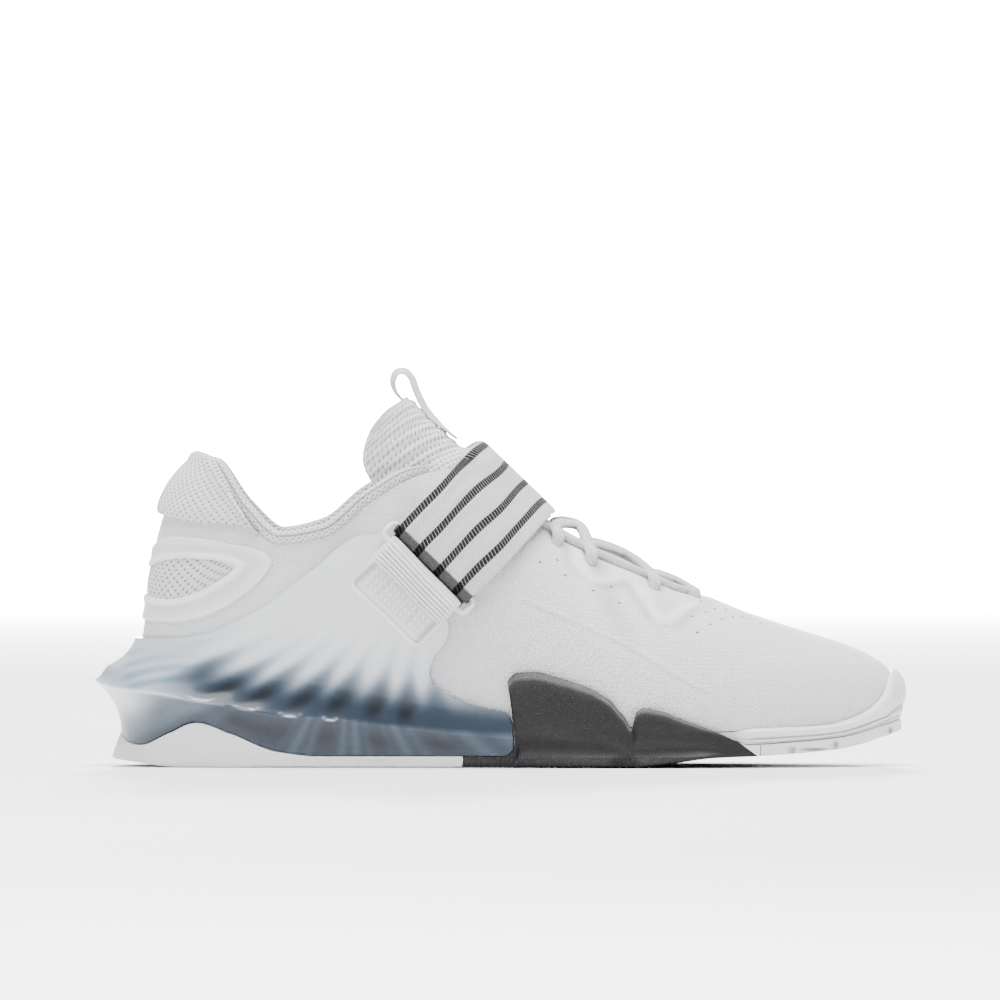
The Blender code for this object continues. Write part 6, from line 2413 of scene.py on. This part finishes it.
    def patch(self) -> None:
        """The patch: a plate with a raised rim and rows of dimples, its end folded round the ring.

        The plate's relief is a sum of bells in rows; the fold carries fine ribs along the bar.
        """
        s = self.sizes
        bar = s.drop + 0.0005 + s.reach
        low = self.clip_face + s.patch_thickness / 2
        radius = s.bar + s.clearance + s.patch_thickness / 2
        width = s.width - s.patch_narrower
        lines = []
        for share in np.linspace(-1, 1, 25):
            forward = share * width / 2
            corner = s.patch_corner * max(abs(share) - 0.80, 0.0) ** 2 / 0.04
            shares = np.array([1.0, 0.66, 0.33])
            downs = bar + np.append((s.patch_length - corner) * shares, 0.0020)
            plate = self.side(downs, forward + 0 * downs, low + 0 * downs)
            turn = self.fold(forward, bar, radius, self.patch_bar, -1.0)
            back = bar + np.array([0.0015, 0.0050, 0.0085])
            over = self.side(back, forward + 0 * back,
                             self.patch_bar + radius - np.array([0.0, 0.0008, 0.0014]))
            lines.append(np.concatenate([plate, turn, over]))
        rows = np.stack(lines)
        at = run_lengths(through(rows[12], self.STEPS))[None]
        w = np.linspace(-1, 1, 37)[:, None] * width / 2
        folded = smooth(s.patch_length + 0.003, s.patch_length + 0.005, at)
        ribs = np.cos(at / s.rib_pitch * 2 * math.pi) * folded
        rim = smooth(width / 2 - 0.0016, width / 2 - 0.0009, np.abs(w)) + 1 - smooth(0.0008, 0.0016, at)
        on_plate = 1 - smooth(s.patch_length - 0.0075, s.patch_length - 0.0065, at)
        dash = np.cos(w / s.dash_pitch * 2 * math.pi) > 0.1
        row = swell(s.row_pitch / 2, s.row_half, np.mod(at - 0.0012, s.row_pitch))
        field = on_plate * (np.abs(w) < width / 2 - 0.004) * (at > 0.003)
        relief = s.rib_depth * ribs + s.rim_depth * (np.clip(rim, 0, 1) * on_plate + row * dash * field)
        # Its tint is the painted shade of its relief.
        patch = self.band("strap_anchor_skin", rows, s.patch_thickness, self.finishes.anchor, width, relief,
                          painted_relief_shade(relief, 0.55, 0.00018, 2))
        self.keep(patch, "moulded_film", ["strap_anchor"])
        self.gap_shadow(bar)

    def gap_shadow(self, bar: float) -> None:
        """A dark sheet of painted shadow that shows in the gap between the strap's fold and the patch's.

        Args:
            bar: Distance of the ring's lower bar down the strap's line.
        """
        s = self.sizes
        down, forward = np.meshgrid(np.linspace(bar - 0.0062, bar + 0.0008, 12),
                                    np.linspace(-0.5, 0.5, 40) * (s.width - 0.0026))
        lift = s.seat + s.gap_shadow_lift + 0 * down
        face = self.side(down, forward, lift)
        back = self.side(down, forward, lift - s.gap_shadow_thickness)
        self.keep(shell("strap_gap_shadow_sheet", face, back, self.finishes.gap_shadow), "webbing")


@dataclass
class LaceSizes:
    """Sizes of the laces."""

    width: float = 0.0052
    thickness: float = 0.0029
    side_from: float = 8.3
    side_to: float = 11.55


class Laces(Dresser):
    """Flat laces that cross over the tongue, from eyelet to eyelet, and go in under the strap."""

    sizes: LaceSizes
    EYELETS = ((11.25, 0.955, 0.0022), (10.3, 0.90, 0.0034), (9.35, 0.90, 0.0064), (8.85, 0.93, 0.0076))

    def build(self) -> None:
        """The bar at the throat's end and three pairs of crossings, one just above the other."""
        s = self.sizes
        spots = [self.spot(*row) for row in self.EYELETS]
        runs = [(0, 0, 0, 1, 0.0)]
        for i in range(len(spots) - 1):
            runs += [(i, i + 1, 0, 1, 0.0006), (i, i + 1, 1, 0, -0.0006)]
        tubes = []
        for start, end, side_a, side_b, lift in runs:
            crest = (spots[start][2] + spots[end][2]) / 2 + np.array([0.0, 0.0, lift])
            first, last = spots[start], spots[end]
            line = np.stack([first[3][side_a], first[0][side_a], first[1][side_a], crest, last[1][side_b],
                             last[0][side_b], last[3][side_b]])
            path = outline(line, 64)
            across = np.broadcast_to(np.array([1.0, 0.0, -0.5]), path.shape)
            rounded = 1 - 0.35 * np.abs(np.linspace(-1, 1, 64)) ** 10
            tubes.append(tube_arrays(path, across, s.width * rounded, s.thickness, 16))
        for turn in (1.0, -1.0):
            u = np.linspace(s.side_from, s.side_to, 70)
            edge, rise, out = LAST.edge_frame(u if turn > 0 else ROUND - u)
            path = edge + out * 0.0013 - rise * 0.0004
            taper = 1 - 0.5 * smooth(0.9, 1.0, np.linspace(0, 1, 70))
            tubes.append(tube_arrays(path, rise, s.thickness * 1.15 * taper, s.thickness, 16))
        points, faces, uvs = zip(*tubes)
        starts = np.cumsum([0] + [len(tube) for tube in points[:-1]])
        faces = [quads + start for quads, start in zip(faces, starts)]
        laces = make_piece("lace_crossings", np.concatenate(points), np.concatenate(faces),
                           self.finishes.lace, np.concatenate(uvs), weld=1e-7)
        self.keep(laces, "lace", ["laces"])

    def spot(self, at: float, up: float, over: float) -> tuple[Array, Array, Array, Array]:
        """Where the lace lies at one pair of eyelets.

        Args:
            at: Rib of the pair.
            up: Place of the eyelets on that rib.
            over: Height of the lace over the middle.

        Returns:
            Points on the surface, points over the throat's edge, the crest, and points down the eyelets.
        """
        u = np.array([at, ROUND - at])
        point = LAST.rib(u, np.array([up, up]))
        normal = LAST.normals(u, point[:, 2])
        edge, rise, out = LAST.edge_frame(u)
        lift = self.sizes.thickness / 2 + 0.0006
        crown = edge.mean(0) + out.mean(0) * over
        hole = point - rise * 0.0022 - normal * 0.0010
        return point + normal * lift, edge + out * lift, crown, hole


@dataclass
class InsoleSizes:
    """Sizes of the insole."""

    thickness: float = 0.0035
    wall: float = 0.0022
    clearance: float = 0.0003


class Insole(Dresser):
    """The insole: a soft-edged sheet on the footbed."""

    sizes: InsoleSizes
    def build(self) -> None:
        """Rings inset from the feather line, rounded over at the top."""
        s = self.sizes
        u = np.linspace(0, ROUND, 192, endpoint=False)
        base, outward = LAST.foot(u)
        rings = []
        for rise, pull in ((s.clearance, 0.0004), (0.0020, 0.0), (s.thickness - 0.0006, 0.0002),
                           (s.thickness, 0.0012), (s.thickness, 0.0030)):
            ring = base - outward * (s.wall + s.clearance + 0.0004 + pull)
            ring[:, 2] = base[:, 2] + rise
            rings.append(ring)
        self.keep(tray("insole_cloth", np.stack(rings), self.finishes.mesh), "padded_mesh", ["insole"])


@dataclass
class Studio:
    """A pale floor that curves up behind, soft lights, and the camera level with the shoe's side."""

    centre_x: float = 0.09805
    centre_z: float = 0.0984
    side_y: float = -0.045
    distance: float = 6.0
    frame_width: float = 0.3672
    elevation: float = math.radians(0.25)
    floor_colour: Colour = (0.90, 0.90, 0.905)
    floor_roughness: float = 0.9
    floor_reach: float = 8.0
    floor_bend: float = 1.4
    floor_height: float = 6.0
    floor_under: float = 2e-5
    sky: float = 0.50

    def build(self) -> None:
        """Sets up the floor, the lights, the sky and the camera.

        The key stands over the shoe, the fill in front of its side and the backdrop's light close to the
        far wall, which it turns white.
        """
        self.floor()
        self.camera()
        middle, toe = (0.08, 0.0, 0.05), (0.12, 0.0, 0.05)
        self.light("key", (0.05, -0.25, 1.9), middle, 2.0, 140.0)
        self.light("side", (-0.75, -1.0, 1.25), middle, 0.6, 85.0)
        self.light("front", (1.3, -1.0, 0.8), toe, 1.2, 8.0)
        self.light("fill", (0.15, -2.3, 1.6), toe, 1.5, 150.0)
        self.light("back", (0.1, 1.3, 1.3), middle, 1.6, 18.0)
        self.light("backdrop", (0.1, 6.9, 1.5), (0.1, 7.9, 0.2), 0.9, 1500.0)
        world = bpy.context.scene.world or bpy.data.worlds.new("studio_sky")
        bpy.context.scene.world = world
        world.use_nodes = True
        sky = world.node_tree.nodes["Background"]
        sky.inputs["Color"].default_value = (1.0, 1.0, 1.0, 1.0)
        sky.inputs["Strength"].default_value = self.sky

    def floor(self) -> None:
        """A level sheet carried back into a quarter circle and up: a profile in Y and Z, drawn along X."""
        reach, bend = self.floor_reach, self.floor_bend
        turn = np.linspace(0, math.pi / 2, 24)
        y = np.concatenate([[-reach], reach - bend + bend * np.sin(turn), [reach]])
        z = np.concatenate([[0.0], bend - bend * np.cos(turn), [self.floor_height]]) - self.floor_under
        x = np.linspace(-9.0, 9.2, 5)
        grid = np.stack(np.broadcast_arrays(x[None, :], y[:, None], z[:, None]), axis=-1)
        mesh = bpy.data.meshes.new("studio_floor")
        mesh.from_pydata(grid.reshape(-1, 3).tolist(), [], grid_faces(len(y), len(x)).tolist())
        mesh.shade_smooth()
        mesh.materials.append(Graph("floor_paper", self.floor_colour, self.floor_roughness).material)
        sheet = bpy.data.objects.new("studio_floor", mesh)
        bpy.context.scene.collection.objects.link(sheet)

    def camera(self) -> None:
        """A long lens, turned only up and down, aimed at the photograph's middle."""
        data = bpy.data.cameras.new("portrait")
        data.sensor_width = 36.0
        data.lens = 36.0 * self.distance / self.frame_width
        camera = bpy.data.objects.new("portrait", data)
        camera.location = (self.centre_x, self.side_y - self.distance * math.cos(self.elevation),
                           self.centre_z + self.distance * math.sin(self.elevation))
        camera.rotation_euler = (math.pi / 2 - self.elevation, 0.0, 0.0)
        bpy.context.scene.collection.objects.link(camera)
        bpy.context.scene.camera = camera

    def light(self, name: str, place: tuple[float, float, float], aim: tuple[float, float, float],
              size: float, power: float) -> None:
        """A square soft light.

        Args:
            name: Its name.
            place: Where it stands.
            aim: The point that it faces.
            size: Its side in metres.
            power: Its power in watts.
        """
        data = bpy.data.lights.new(name, "AREA")
        data.size = size
        data.energy = power
        lamp = bpy.data.objects.new(name, data)
        lamp.location = place
        ray = np.array(aim) - np.array(place)
        ray = ray / np.linalg.norm(ray)
        lamp.rotation_euler = (math.acos(float(-ray[2])), 0.0, math.atan2(float(ray[0]), float(-ray[1])))
        bpy.context.scene.collection.objects.link(lamp)


def main() -> None:
    """Builds the studio and each sub-assembly in order."""
    logging.basicConfig(level=logging.INFO, format="%(name)s %(message)s")
    Studio().build()
    finishes = Finishes()
    assemblies: list[Dresser] = [
        Sole(finishes, SoleSizes()),
        Insole(finishes, InsoleSizes()),
        Upper(finishes, UpperSizes()),
        HeelClip(finishes, ClipSizes()),
        HeelCollar(finishes, HeelSizes()),
        Tongue(finishes, TongueSizes()),
        Strap(finishes, StrapSizes()),
        Laces(finishes, LaceSizes()),
    ]
    for assembly in assemblies:
        assembly.build()
        log.info("%s has %d pieces", type(assembly).__name__, len(assembly.pieces))


if __name__ == "__main__":
    main()
